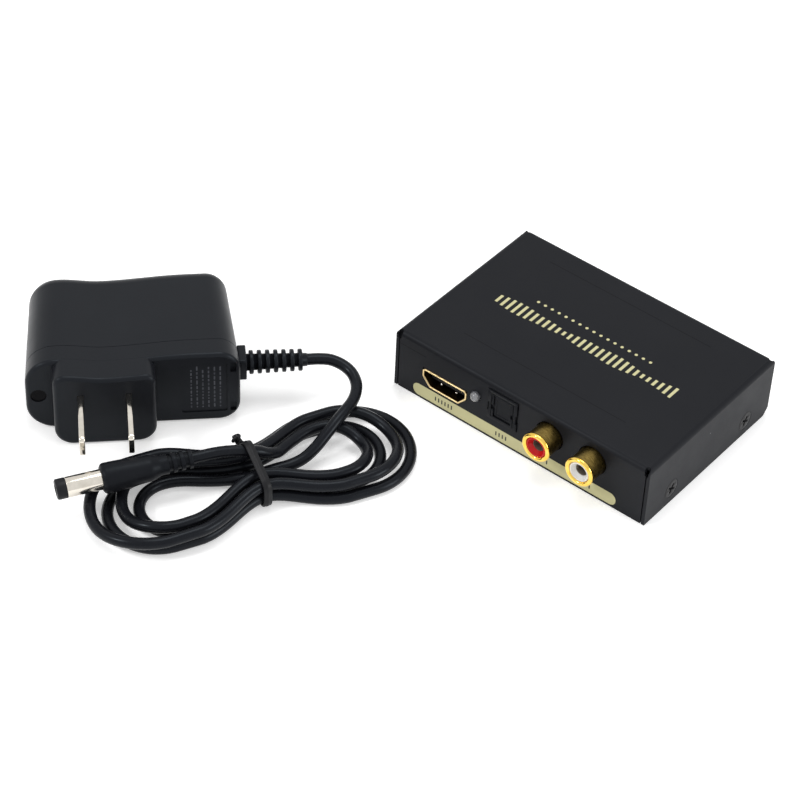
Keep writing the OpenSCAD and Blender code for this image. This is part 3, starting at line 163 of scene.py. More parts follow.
def buildDustSpecks():
    group, source, sink = newShaderGroup(
        "dustSpecks",
        [("Spacing", "NodeSocketFloat", 0.004), ("Size", "NodeSocketFloat", 0.03)],
        [("Mask", "NodeSocketFloat")])
    link = group.links.new
    place = addNode(group, "ShaderNodeTexCoord")
    scale = addNode(group, "ShaderNodeVectorMath", operation="DIVIDE")
    cells = addNode(group, "ShaderNodeTexVoronoi", {"Scale": 1.0})
    near = addNode(group, "ShaderNodeMath", operation="LESS_THAN")
    rare = addNode(group, "ShaderNodeMath", {1: 0.72}, operation="GREATER_THAN")
    both = addNode(group, "ShaderNodeMath", operation="MULTIPLY")
    link(place.outputs["Object"], scale.inputs[0])
    link(source.outputs["Spacing"], scale.inputs[1])
    link(scale.outputs[0], cells.inputs["Vector"])
    link(cells.outputs["Distance"], near.inputs[0])
    link(source.outputs["Size"], near.inputs[1])
    link(cells.outputs["Color"], rare.inputs[0])
    link(near.outputs[0], both.inputs[0])
    link(rare.outputs[0], both.inputs[1])
    link(both.outputs[0], sink.inputs["Mask"])
    return group


toneDrift = buildToneDrift()
roughDrift = buildRoughDrift()
fineGrain = buildFineGrain()
dustSpecks = buildDustSpecks()


def useGroup(tree, group, **values):
    node = tree.nodes.new("ShaderNodeGroup")
    node.node_tree = group
    for key, value in values.items():
        node.inputs[key].default_value = value
    return node


# what each finish looks like: colours are linear, sizes in metres
finishes = {
    "powderCoat": {"tones": [(0.0098, 0.0103, 0.0125), (0.0118, 0.0123, 0.0146)], "patch": 0.03,
                   "rough": (0.38, 0.46), "grain": 0.00042, "depth": 0.00001,
                   "specular": 0.09, "sheen": (0.90, 0.95, 1.0),
                   "dust": (0.006, 0.035), "dustTone": (0.16, 0.16, 0.17)},
    "blackSteel": {"tones": [(0.006, 0.006, 0.007), (0.016, 0.016, 0.017)], "patch": 0.002,
                   "rough": (0.3, 0.42), "grain": 0.0003, "depth": 0.000006, "specular": 0.12},
    "board": {"tones": [(0.010, 0.075, 0.030), (0.018, 0.110, 0.045)], "patch": 0.004,
              "rough": (0.25, 0.4), "grain": 0.0006, "depth": 0.00001, "specular": 0.5},
    "nickel": {"tones": [(0.62, 0.58, 0.51), (0.74, 0.70, 0.63)], "patch": 0.004, "metallic": 1.0,
               "rough": (0.10, 0.18), "grain": 0.0004, "depth": 0.0000008},
    "gilt": {"tones": [(0.80, 0.50, 0.07), (0.90, 0.64, 0.16)], "patch": 0.002, "metallic": 1.0,
             "rough": (0.09, 0.17), "grain": 0.0005, "depth": 0.000001},
    # painted shade: the barrels' gold is coloured dark olive to stand in for the dark surroundings it
    # reflects; the stretched drift gives lathe streaks
    "paintedShadeGilt": {"tones": [(0.10, 0.068, 0.016), (0.26, 0.185, 0.055)], "patch": 0.0016,
                 "metallic": 1.0, "rough": (0.22, 0.40), "grain": 0.0004, "depth": 0.000003,
                 "stretch": (1, 5, 1)},
    "dullContact": {"tones": [(0.30, 0.25, 0.20), (0.20, 0.17, 0.14)], "patch": 0.001,
                    "metallic": 0.7, "rough": (0.42, 0.55), "grain": 0.0005, "depth": 0.000001},
    "paleGilt": {"tones": [(0.78, 0.58, 0.28), (0.86, 0.68, 0.38)], "patch": 0.004, "metallic": 1.0,
                 "rough": (0.28, 0.36), "grain": 0.0005, "depth": 0.000001},
    # painted shade: the metal inside the video sockets (shade sheet, leaves, contacts) is coloured dark
    # bronze to stand in for the shade in there
    "paintedShadeBronze": {"tones": [(0.040, 0.025, 0.010), (0.022, 0.014, 0.006)], "patch": 0.002,
                   "metallic": 1.0, "rough": (0.3, 0.42), "grain": 0.0004, "depth": 0.000003},
    "brass": {"tones": [(0.62, 0.47, 0.20), (0.70, 0.54, 0.24)], "patch": 0.003, "metallic": 1.0,
              "rough": (0.2, 0.34), "grain": 0.0004, "depth": 0.000003},
    "blackMoulding": {"tones": [(0.0095, 0.0100, 0.0120), (0.0115, 0.0120, 0.0140)], "patch": 0.006,
                      "rough": (0.36, 0.46), "grain": 0.0004, "depth": 0.000006, "specular": 0.14},
    "redInsulator": {"tones": [(0.62, 0.012, 0.014), (0.50, 0.008, 0.010)], "patch": 0.003,
                     "rough": (0.16, 0.26), "grain": 0.0006, "depth": 0.000003, "specular": 0.22},
    "whiteInsulator": {"tones": [(0.86, 0.85, 0.82), (0.78, 0.77, 0.74)], "patch": 0.003,
                       "rough": (0.2, 0.3), "grain": 0.0006, "depth": 0.000003, "specular": 0.5},
    "portMoulding": {"tones": [(0.0075, 0.0080, 0.0098), (0.0090, 0.0095, 0.0115)], "patch": 0.006,
                     "rough": (0.42, 0.5), "grain": 0.0004, "depth": 0.000006, "specular": 0.08,
                     "sheen": (0.90, 0.95, 1.0)},
    "lightDome": {"tones": [(0.40, 0.41, 0.45), (0.30, 0.31, 0.34)], "patch": 0.0009,
                  "rough": (0.14, 0.2), "grain": 0.0008, "depth": 0.000001, "transmission": 0.6,
                  "specular": 0.5},
    "emitterLens": {"tones": [(0.20, 0.01, 0.015), (0.12, 0.006, 0.01)], "patch": 0.002,
                    "rough": (0.1, 0.2), "grain": 0.0006, "depth": 0.000003, "transmission": 0.4},
    "chipEpoxy": {"tones": [(0.012, 0.012, 0.012), (0.020, 0.020, 0.020)], "patch": 0.002,
                  "rough": (0.5, 0.62), "grain": 0.00025, "depth": 0.000008},
    "canAluminium": {"tones": [(0.62, 0.63, 0.65), (0.52, 0.53, 0.55)], "patch": 0.003,
                     "metallic": 1.0, "rough": (0.3, 0.42), "grain": 0.0003, "depth": 0.000003},
    "ferrite": {"tones": [(0.030, 0.030, 0.033), (0.050, 0.050, 0.054)], "patch": 0.0015,
                "rough": (0.55, 0.7), "grain": 0.0003, "depth": 0.00001},
    "adapterMoulding": {"tones": [(0.0080, 0.0086, 0.0108), (0.0096, 0.0102, 0.0126)],
                        "patch": 0.02, "rough": (0.30, 0.38), "grain": 0.00035,
                        "depth": 0.00001, "specular": 0.13, "sheen": (0.80, 0.91, 1.0), "dust": (0.009, 0.02),
                        "dustTone": (0.10, 0.10, 0.11)},
    "adapterPaper": {"tones": [(0.28, 0.18, 0.06), (0.36, 0.24, 0.09)], "patch": 0.003,
                     "rough": (0.5, 0.65), "grain": 0.0004, "depth": 0.00001},
    "transformerTape": {"tones": [(0.62, 0.42, 0.03), (0.52, 0.34, 0.02)], "patch": 0.003,
                        "rough": (0.25, 0.38), "grain": 0.0005, "depth": 0.000006},
    "capacitorSleeve": {"tones": [(0.010, 0.014, 0.035), (0.016, 0.022, 0.050)], "patch": 0.003,
                        "rough": (0.2, 0.32), "grain": 0.0005, "depth": 0.000004},
    "darkLens": {"tones": [(0.0022, 0.0022, 0.0028), (0.0035, 0.0035, 0.0045)], "patch": 0.001,
                 "rough": (0.3, 0.4), "grain": 0.0008, "depth": 0.000002, "specular": 0.05},
    "cordVinyl": {"tones": [(0.0052, 0.0055, 0.0075), (0.0075, 0.0078, 0.0100)], "patch": 0.012,
                  "rough": (0.22, 0.32), "grain": 0.0006, "depth": 0.000005, "specular": 0.13,
                  "sheen": (0.82, 0.92, 1.0)},
    "tieVinyl": {"tones": [(0.0085, 0.0088, 0.0102), (0.0115, 0.0118, 0.0132)], "patch": 0.002,
                 "rough": (0.34, 0.46), "grain": 0.0003, "depth": 0.000006, "specular": 0.15},
    "plugMoulding": {"tones": [(0.0062, 0.0066, 0.0084), (0.0084, 0.0088, 0.0108)], "patch": 0.006,
                     "rough": (0.34, 0.44), "grain": 0.0004, "depth": 0.000008, "specular": 0.09,
                     "sheen": (0.82, 0.92, 1.0)},
    # thin strokes darker than the coat; the one on the front is painted shade of a faint press line
    "faintLine": {"tones": [(0.0045, 0.0045, 0.0055), (0.0060, 0.0060, 0.0070)], "patch": 0.003,
                  "rough": (0.5, 0.6), "grain": 0.0005, "depth": 0.000004, "specular": 0.05},
    "greyInk": {"tones": [(0.10, 0.105, 0.12), (0.05, 0.053, 0.062)], "patch": 0.002,
                "rough": (0.5, 0.6), "grain": 0.0005, "depth": 0.000003, "specular": 0.05},
    "paleInk": {"tones": [(0.60, 0.57, 0.31), (0.54, 0.51, 0.28)], "patch": 0.008,
                "rough": (0.40, 0.5), "grain": 0.0005, "depth": 0.000006, "specular": 0.3},
    "darkInk": {"tones": [(0.020, 0.020, 0.018), (0.028, 0.028, 0.025)], "patch": 0.003,
                "rough": (0.45, 0.55), "grain": 0.0005, "depth": 0.000004, "specular": 0.3},
}
materials = {}


def makeFinish(name, look):
    material = bpy.data.materials.new(name)
    material.use_nodes = True
    tree = material.node_tree
    shader = tree.nodes["Principled BSDF"]
    link = tree.links.new
    stretch = look.get("stretch", (1, 1, 1))
    shader.inputs["Metallic"].default_value = look.get("metallic", 0.0)
    shader.inputs["Specular IOR Level"].default_value = look.get("specular", 0.5)
    shader.inputs["Specular Tint"].default_value = (*look.get("sheen", (1, 1, 1)), 1)
    shader.inputs["Coat Weight"].default_value = look.get("coat", 0.0)
    shader.inputs["Transmission Weight"].default_value = look.get("transmission", 0.0)
    tones = look["tones"]
    tone = useGroup(tree, toneDrift, Colour=(*tones[0], 1), Second=(*tones[1], 1),
                    Patch=look["patch"], Stretch=stretch)
    colour = tone.outputs["Colour"]
    if "dust" in look:
        specks = useGroup(tree, dustSpecks, Spacing=look["dust"][0], Size=look["dust"][1])
        mix = addNode(tree, "ShaderNodeMix", data_type="RGBA")
        mix.inputs["B"].default_value = (*look["dustTone"], 1)
        link(specks.outputs["Mask"], mix.inputs["Factor"])
        link(colour, mix.inputs["A"])
        colour = mix.outputs["Result"]
    link(colour, shader.inputs["Base Color"])
    rough = useGroup(tree, roughDrift, Low=look["rough"][0], High=look["rough"][1],
                     Patch=look["patch"] / 3, Stretch=stretch)
    link(rough.outputs["Value"], shader.inputs["Roughness"])
    grain = useGroup(tree, fineGrain, Grain=look["grain"], Stretch=stretch)
    bump = addNode(tree, "ShaderNodeBump", {"Strength": 1.0, "Distance": look["depth"]})
    link(grain.outputs["Height"], bump.inputs["Height"])
    link(bump.outputs["Normal"], shader.inputs["Normal"])
    materials[name] = material


for finishName, finishLook in finishes.items():
    makeFinish(finishName, finishLook)
print("scene: finishes made,", len(materials))


# mesh helpers: every piece keeps its place in its mesh
def addObject(name, mesh, finish, body=None, stands=()):
    piece = bpy.data.objects.new(name, mesh)
    bpy.context.scene.collection.objects.link(piece)
    mesh.materials.clear()
    mesh.materials.append(materials[finish])
    if body:
        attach(piece, body)
    if stands:
        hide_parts(*stands)
    return piece


def meshFrom(name, points, faces, matrix=None, sharpAngle=32):
    mesh = bpy.data.meshes.new(name)
    mesh.from_pydata([tuple(p) for p in points], [], faces)
    shape = bmesh.new()
    shape.from_mesh(mesh)
    bmesh.ops.remove_doubles(shape, verts=shape.verts, dist=1e-7)
    bmesh.ops.recalc_face_normals(shape, faces=shape.faces)
    shape.to_mesh(mesh)
    shape.free()
    if matrix is not None:
        mesh.transform(matrix)
    smoothMesh(mesh, sharpAngle)
    return mesh


def smoothMesh(mesh, sharpAngle=32):
    mesh.shade_smooth()
    mesh.set_sharp_from_angle(angle=math.radians(sharpAngle))


def bakeModifiers(name, mesh, settings, sharpAngle=32):
    carrier = bpy.data.objects.new(name + "Work", mesh)
    bpy.context.scene.collection.objects.link(carrier)
    for kind, values in settings:
        modifier = carrier.modifiers.new(kind, kind)
        for key, value in values.items():
            setattr(modifier, key, value)
    bpy.context.view_layer.update()
    graph = bpy.context.evaluated_depsgraph_get()
    made = bpy.data.meshes.new_from_object(carrier.evaluated_get(graph))
    made.name = name
    bpy.data.objects.remove(carrier)
    return made


def softened(name, mesh, width, segments=2, angle=35):
    return bakeModifiers(name, mesh, [
        ("BEVEL", {"width": width, "segments": segments, "limit_method": "ANGLE",
                   "angle_limit": math.radians(angle), "harden_normals": False}),
        ("WEIGHTED_NORMAL", {"keep_sharp": True, "weight": 60})])


def carved(name, mesh, cuts, operation="DIFFERENCE"):
    carrier = bpy.data.objects.new(name + "Work", mesh)
    bpy.context.scene.collection.objects.link(carrier)
    helpers = []
    for index, cut in enumerate(cuts):
        helper = bpy.data.objects.new(name + "Cut" + str(index), cut)
        bpy.context.scene.collection.objects.link(helper)
        helpers.append(helper)
        modifier = carrier.modifiers.new("cut", "BOOLEAN")
        modifier.operation = operation
        modifier.solver = "EXACT"
        modifier.object = helper
    bpy.context.view_layer.update()
    graph = bpy.context.evaluated_depsgraph_get()
    made = bpy.data.meshes.new_from_object(carrier.evaluated_get(graph))
    made.name = name
    for thing in [carrier] + helpers:
        bpy.data.objects.remove(thing)
    return made


def boxMesh(name, low, high, matrix=None):
    points = [(x, y, z) for z in (low[2], high[2]) for y in (low[1], high[1]) for x in (low[0], high[0])]
    faces = [(0, 2, 3, 1), (4, 5, 7, 6), (0, 1, 5, 4), (1, 3, 7, 5), (3, 2, 6, 7), (2, 0, 4, 6)]
    return meshFrom(name, points, faces, matrix)


def turnedMesh(name, profile, matrix, segments=96, sharpAngle=40):
    count = len(profile)
    points = []
    for step in range(segments):
        turn = 2 * math.pi * step / segments
        points += [(r * math.cos(turn), r * math.sin(turn), h) for r, h in profile]
    faces = []
    for step in range(segments):
        after = (step + 1) % segments
        for i in range(count):
            j = (i + 1) % count
            if profile[i][0] < 1e-9 and profile[j][0] < 1e-9:
                continue
            faces.append((step * count + i, after * count + i, after * count + j, step * count + j))
    mesh = bpy.data.meshes.new(name)
    mesh.from_pydata(points, [], faces)
    shape = bmesh.new()
    shape.from_mesh(mesh)
    bmesh.ops.remove_doubles(shape, verts=shape.verts, dist=1e-7)
    bmesh.ops.dissolve_degenerate(shape, edges=shape.edges, dist=1e-8)
    bmesh.ops.recalc_face_normals(shape, faces=shape.faces)
    shape.to_mesh(mesh)
    shape.free()
    mesh.transform(matrix)
    smoothMesh(mesh, sharpAngle)
    return mesh


def arc(x, y, radius, start, end, steps):
    return [(x + radius * math.cos(math.radians(start + (end - start) * i / steps)),
             y + radius * math.sin(math.radians(start + (end - start) * i / steps)))
            for i in range(steps + 1)]


def filleted(outline, radius, steps=6):
    made = []
    count = len(outline)
    for i in range(count):
        before, here, after = (Vector(outline[k % count]) for k in (i - 1, i, i + 1))
        toBefore, toAfter = (before - here).normalized(), (after - here).normalized()
        half = math.acos(max(-1, min(1, toBefore.dot(toAfter)))) / 2
        reach = min(radius / math.tan(half), (before - here).length * 0.48, (after - here).length * 0.48)
        round_ = reach * math.tan(half)
        middle = here + (toBefore + toAfter).normalized() * (round_ / math.sin(half))
        first = here + toBefore * reach - middle
        last = here + toAfter * reach - middle
        sweep = math.atan2(first.x * last.y - first.y * last.x, first.dot(last))
        for k in range(steps + 1):
            turn = sweep * k / steps
            made.append((middle.x + first.x * math.cos(turn) - first.y * math.sin(turn),
                         middle.y + first.x * math.sin(turn) + first.y * math.cos(turn)))
    return made


def prismMesh(name, outline, low, high, matrix, sharpAngle=32):
    count = len(outline)
    points = [(x, y, low) for x, y in outline] + [(x, y, high) for x, y in outline]
    faces = [tuple(range(count - 1, -1, -1)), tuple(range(count, 2 * count))]
    faces += [(i, (i + 1) % count, count + (i + 1) % count, count + i) for i in range(count)]
    return meshFrom(name, points, faces, matrix, sharpAngle)


def joined(name, meshes):
    made = bpy.data.meshes.new(name)
    shape = bmesh.new()
    for mesh in meshes:
        shape.from_mesh(mesh)
    shape.to_mesh(made)
    shape.free()
    return made


# frames of the object's parts
enclosure = {"width": 84 * mm, "depth": 58 * mm, "height": 19.5 * mm, "sheet": 1 * mm}
frontFace = -enclosure["depth"] / 2
sideFace = enclosure["width"] / 2


def outward(x, z):
    return Matrix.Translation((x, frontFace, z)) @ Matrix.Rotation(math.pi / 2, 4, "X")


adapterPlace = {"x": -83.8 * mm, "y": -88 * mm, "turn": 45.5}
inAdapter = (Matrix.Translation((adapterPlace["x"], adapterPlace["y"], 0))
             @ Matrix.Rotation(math.radians(adapterPlace["turn"]), 4, "Z"))
hankPlace = {"x": 30 * mm, "y": -26.3 * mm, "turn": 19}
inHank = (inAdapter @ Matrix.Translation((hankPlace["x"], hankPlace["y"], 0))
          @ Matrix.Rotation(math.radians(hankPlace["turn"]), 4, "Z"))

adapter = {
    "width": 57 * mm, "rearWidth": 53.4 * mm, "height": 23.6 * mm, "rearHeight": 22 * mm,
    "depth": 38.5 * mm, "wall": 1.8 * mm, "seam": 6.7 * mm, "seamGap": 0.15 * mm,
    "leftRound": 7.87 * mm, "rightRound": 5.9 * mm, "frontRound": 1.2 * mm, "rearRound": 5 * mm,
    "lipReach": 0.5 * mm, "dipDepth": 1.2 * mm, "dipShares": (-0.32, -0.13, 0.27),
    "cornerSteps": 14, "topSteps": 40, "edgeSteps": 8,
    "blockWidth": 27 * mm, "blockDepth": 7 * mm, "blockX": -7.7 * mm, "blockRound": 3 * mm,
    "blockFootRound": 5 * mm, "blockFrontRound": 1.3 * mm, "blockSink": 0.03 * mm,
    "bladePitch": 12.7 * mm, "bladeLength": 16.8 * mm, "bladeWidth": 6.3 * mm,
    "bladeThickness": 1.5 * mm, "bladeZ": 14.4 * mm,
    "lensX": -25.08 * mm, "lensZ": 11.8 * mm, "lensWidth": 4.2 * mm,
    "labelX": 18.81 * mm, "labelWidth": 12.3 * mm, "labelHeight": 17 * mm, "labelDepth": 0.3 * mm,
    "labelRows": 6, "labelPitch": 1.55 * mm, "labelSeed": 7,
}


# the lead: route points in millimetres, in the adapter's and the hank's frames
lead = {
    "diameter": 3.2, "lift": 0.05, "loops": 4, "lastTurn": 94 / 24, "stepsPerLoop": 168,
    "innerLength": 29.5, "innerWidth": 8.2, "innerWaist": 1.0, "lengthStep": 8.5,
    "widthStep": 4.1, "waistStep": 4.2, "layerStep": 3.9, "drape": 0.5, "tieRise": 1.3, "tieReach": 14.0,
    "climbStart": 1.95, "climbShare": 0.2,
    "reliefTip": (47.04, 9.033, 12.27),
    "run": [(50.24, 9.033, 12.27), (53.4, 8.6, 12.1), (56.4, 7.2, 11.4), (58.6, 4.8, 10.7),
            (59.6, 1.4, 10.0), (59.2, -2.2, 9.6), (57.8, -5.6, 9.4), (55.6, -8.8, 9.2),
            (53.0, -12.0, 8.5), (50.0, -15.2, 6.9), (46.8, -18.2, 5.0), (43.6, -20.4, 3.6),
            (40.2, -21.8, 2.95)],
    "end": [(5.4, 2.9, 7.6), (2.6, 2.9, 9.2), (-0.6, 3.4, 10.2), (-4.0, 4.1, 10.8),
            (-7.4, 4.6, 11.2)],
    "plugBack": (-15.0, 5.4, 11.2), "plugTurn": 7.5, "plugTilt": 3.0,
}


def smoothStep(s):
    s = min(max(s, 0.0), 1.0)
    return s * s * (3 - 2 * s)


def hankPoint(t):
    out = t if t < lead["loops"] / 2 else lead["loops"] - t
    longHalf = lead["innerLength"] + lead["lengthStep"] * out
    wide = lead["innerWidth"] + lead["widthStep"] * out
    narrow = lead["innerWaist"] + lead["waistStep"] * out
    flare = lead["innerLength"] - lead["innerWidth"]
    straight = longHalf - wide
    rest = straight - flare
    quarter = math.floor(t * 4 + 0.00001)
    progress = t * 4 - quarter
    q = progress if quarter % 2 == 0 else 1 - progress
    past = (2 * q - 1) * (rest + wide * math.pi / 2)
    turn = (past - rest) / wide
    onArc = turn > 0
    a = straight + wide * math.sin(turn) if onArc else flare + past if past > 0 else flare * 2 * q
    b = wide * math.cos(turn) if onArc else narrow + (wide - narrow) * smoothStep(a / flare)
    drape = 1 - lead["drape"] * math.sin(turn) ** 4 if onArc else 1
    upper = smoothStep((t - lead["climbStart"]) / lead["climbShare"])
    z = (lead["diameter"] / 2 + lead["lift"] + upper * lead["layerStep"] * drape
         + lead["tieRise"] * (1 - smoothStep(a / lead["tieReach"])))
    return Vector((-a if quarter % 4 in (0, 1) else a, b if quarter % 4 in (0, 3) else -b, z))


def plugAxis(s):
    tilt, turn = math.radians(lead["plugTilt"]), math.radians(lead["plugTurn"])
    way = Vector((-math.cos(tilt) * math.cos(turn), math.cos(tilt) * math.sin(turn), -math.sin(tilt)))
    return Vector(lead["plugBack"]) + s * way


def smoothRoute(points, steps):
    route = []
    for i in range(1, len(points) - 2):
        a, b, c, d = points[i - 1:i + 3]
        gaps = [max((q - p).length, 1e-6) ** 0.5 for p, q in ((a, b), (b, c), (c, d))]
        inTan = ((b - a) / gaps[0] - (c - a) / (gaps[0] + gaps[1]) + (c - b) / gaps[1]) * gaps[1]
        outTan = ((c - b) / gaps[1] - (d - b) / (gaps[1] + gaps[2]) + (d - c) / gaps[2]) * gaps[1]
        for k in range(steps):
            s = k / steps
            route.append((2 * s ** 3 - 3 * s ** 2 + 1) * b + (s ** 3 - 2 * s ** 2 + s) * inTan
                         + (3 * s ** 2 - 2 * s ** 3) * c + (s ** 3 - s ** 2) * outTan)
    route.append(points[-2])
    return route


def leadRoute():
    d = lead["diameter"]
    fromHank = lambda p: inHank @ (Vector(p) * mm)
    fromAdapter = lambda p: inAdapter @ (Vector(p) * mm)
    first, last = hankPoint(0), hankPoint(lead["lastTurn"])
    way = (hankPoint(lead["lastTurn"] + 1 / 24) - last).normalized() * d
    tip = Vector(lead["reliefTip"])
    run = [fromAdapter(p) for p in [tip - Vector((d, 0, 0)), tip] + lead["run"]]
    run += [fromHank(first + Vector(p)) for p in ((7, 0, 0), (d, 0, 0), (0, 0, 0))]
    steps = round(lead["lastTurn"] * lead["stepsPerLoop"])
    loops = [fromHank(hankPoint(i * lead["lastTurn"] / steps)) for i in range(steps + 1)]
    end = [loops[-1], fromHank(last + way), fromHank(last + 2 * way)]
    end += [fromHank(p) for p in lead["end"]] + [fromHank(plugAxis(s)) for s in (-4.6, 0, 3)]
    runRoute = smoothRoute(run + [loops[1]], 7)
    endRoute = smoothRoute([loops[-6]] + end, 7)
    return runRoute + loops[1:] + endRoute[1:]


def buildLead():
    route = leadRoute()
    curve = bpy.data.curves.new("leadCord", "CURVE")
    curve.dimensions = "3D"
    curve.bevel_depth = lead["diameter"] / 2 * mm
    curve.bevel_resolution = 6
    curve.use_fill_caps = True
    spline = curve.splines.new("POLY")
    spline.points.add(len(route) - 1)
    for point, place in zip(spline.points, route):
        point.co = (*place, 1)
    spline.use_smooth = True
    cord = bpy.data.objects.new("leadCord", curve)
    bpy.context.scene.collection.objects.link(cord)
    curve.materials.append(materials["cordVinyl"])
    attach(cord, "power_adapter")
    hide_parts("lead_run", "lead_hank", "lead_end")
    length = sum((q - p).length for p, q in zip(route, route[1:]))
    print("scene: lead made, length", round(length, 4))
    return cord, route, length


leadCord, leadPath, leadLength = buildLead()


# the band round the tied lead, with its twisted ends
tie = {"width": 2.4, "thickness": 0.9, "gap": 0.3, "endWaist": (3.3, 10.1), "wireRidge": 0.16,
       "knotRadius": 1.1, "knotLength": 3.6, "strand": 0.52, "twists": 2.2}


def hullOf(points):
    points = sorted(set(points))
    cross = lambda o, a, b: (a[0] - o[0]) * (b[1] - o[1]) - (a[1] - o[1]) * (b[0] - o[0])
    chains = []
    for line in (points, points[::-1]):
        chain = []
        for p in line:
            while len(chain) > 1 and cross(chain[-2], chain[-1], p) <= 0:
                chain.pop()
            chain.append(p)
        chains.append(chain[:-1])
    return chains[0] + chains[1]


def resampled(loop, count):
    loop = [Vector(p) for p in loop]
    spans = [(loop[(i + 1) % len(loop)] - loop[i]).length for i in range(len(loop))]
    total, made, i, passed = sum(spans), [], 0, 0.0
    for k in range(count):
        target = total * k / count
        while passed + spans[i] < target:
            passed += spans[i]
            i += 1
        made.append(loop[i].lerp(loop[(i + 1) % len(loop)], (target - passed) / spans[i]))
    return made


def buildTie():
    places = [tuple(hankPoint(t))[1:] for t in (0.5, 1, 1.5, 2, 2.5, 3, 3.5)] + [tie["endWaist"]]
    radius = lead["diameter"] / 2 + tie["gap"] + tie["thickness"] / 2
    ring = [(p[0] + radius * math.cos(math.radians(5 * k)), p[1] + radius * math.sin(math.radians(5 * k)))
            for p in places for k in range(72)]
    line = resampled(hullOf(ring), 120)
    for _ in range(3):
        line = [(line[i - 1] + 2 * line[i] + line[(i + 1) % len(line)]) / 4 for i in range(len(line))]
    halfW, halfT = tie["width"] / 2, tie["thickness"] / 2
    edge = arc(halfW - 0.28, 0, 0.28, -90, 90, 5)
    section = [(x, y * halfT / 0.28 * 0.72) for x, y in edge]
    section += [(0.42, halfT * 0.72), (0.22, halfT * 0.9), (0, halfT), (-0.22, halfT * 0.9),
                (-0.42, halfT * 0.72)]
    section += [(-x, -y) for x, y in section[:6]]
    section += [(-0.3, -halfT * 0.72), (0.3, -halfT * 0.72)]
    points, faces = [], []
    count, n = len(line), len(section)
    for i in range(count):
        along = (line[(i + 1) % count] - line[i - 1]).normalized()
        out = Vector((along.y, -along.x))
        for x, h in section:
            flat = line[i] + out * h
            points.append(Vector((x, flat.x, flat.y)) * mm)
    for i in range(count):
        after = (i + 1) % count
        faces += [(i * n + k, after * n + k, after * n + (k + 1) % n, i * n + (k + 1) % n)
                  for k in range(n)]
    band = meshFrom("tieBandPart", points, faces, inHank)
    knotAt = hankPoint(lead["loops"] - 1)
    reach = radius * 0.7
    root = (inHank @ Matrix.Translation(Vector((0, knotAt.y + reach, knotAt.z + reach)) * mm)
            @ Matrix.Rotation(math.radians(35), 4, "Z") @ Matrix.Rotation(math.radians(-50), 4, "X"))
    strands = []
    for side in (0, 1):
        path = []
        for k in range(41):
            s = k / 40
            splay = smoothStep((s - 0.72) / 0.28) * 0.9
            turn = 2 * math.pi * tie["twists"] * s + math.pi * side
            path.append(Vector(((tie["strand"] + splay) * math.cos(turn) * (0.35 + 0.65 * min(1, s * 5)),
                                (tie["strand"] + splay) * math.sin(turn) * (0.35 + 0.65 * min(1, s * 5)),
                                -0.6 + (tie["knotLength"] + 0.4) * s)))
        strands.append(tubeMesh("tieStrandPart", [p * mm for p in path], 0.5 * mm, 10, root))
    piece = addObject("tieBand", joined("tieBand", [band] + strands), "tieVinyl", "power_adapter",
                      ["cord_tie"])
    smoothMesh(piece.data, 50)
    return piece


def tubeMesh(name, path, radius, sides, matrix):
    points, faces = [], []
    normal = None
    for i, place in enumerate(path):
        along = (path[min(i + 1, len(path) - 1)] - path[max(i - 1, 0)]).normalized()
        if normal is None:
            normal = along.orthogonal().normalized()
        normal = (normal - along * normal.dot(along)).normalized()
        side = along.cross(normal)
        for k in range(sides):
            turn = 2 * math.pi * k / sides
            points.append(place + radius * (math.cos(turn) * normal + math.sin(turn) * side))
    last = len(path) - 1
    for i in range(last):
        faces += [(i * sides + k, (i + 1) * sides + k, (i + 1) * sides + (k + 1) % sides,
                   i * sides + (k + 1) % sides) for k in range(sides)]
    for base, centre, order in ((0, path[0], 1), (last * sides, path[-1], -1)):
        points.append(centre + (path[0] - path[1] if order == 1 else path[-1] - path[-2]).normalized()
                      * radius * 0.45)
        tip = len(points) - 1
        faces += [(base + k, base + (k + 1) % sides, tip) for k in range(sides)]
    return meshFrom(name, points, faces, matrix, 60)


tieBand = buildTie()


# the plug: heights run from the neck's end to the tip, in millimetres
plug = {
    "gripLength": 24.2, "gripFrontRadius": 4.1, "gripBackRadius": 3.53, "neckLength": 8.71,
    "neckRadius": 2.62, "grooves": 3, "grooveShare": 0.125, "barrelRadius": 2.75,
    "barrelRoot": 21.78, "tipLength": 2.73, "totalLength": 36.2, "wall": 0.3,
    "contactRadius": 1.35, "holeRadius": 1.05,
}
inPlug = (inHank @ Matrix.Translation(Vector(lead["plugBack"]) * mm)
          @ Matrix.Rotation(math.radians(180 - lead["plugTurn"]), 4, "Z")
          @ Matrix.Rotation(math.radians(lead["plugTilt"]), 4, "Y")
          @ Matrix.Rotation(math.pi / 2, 4, "Y"))


def scaledProfile(points):
    return [(r * mm, h * mm) for r, h in points]


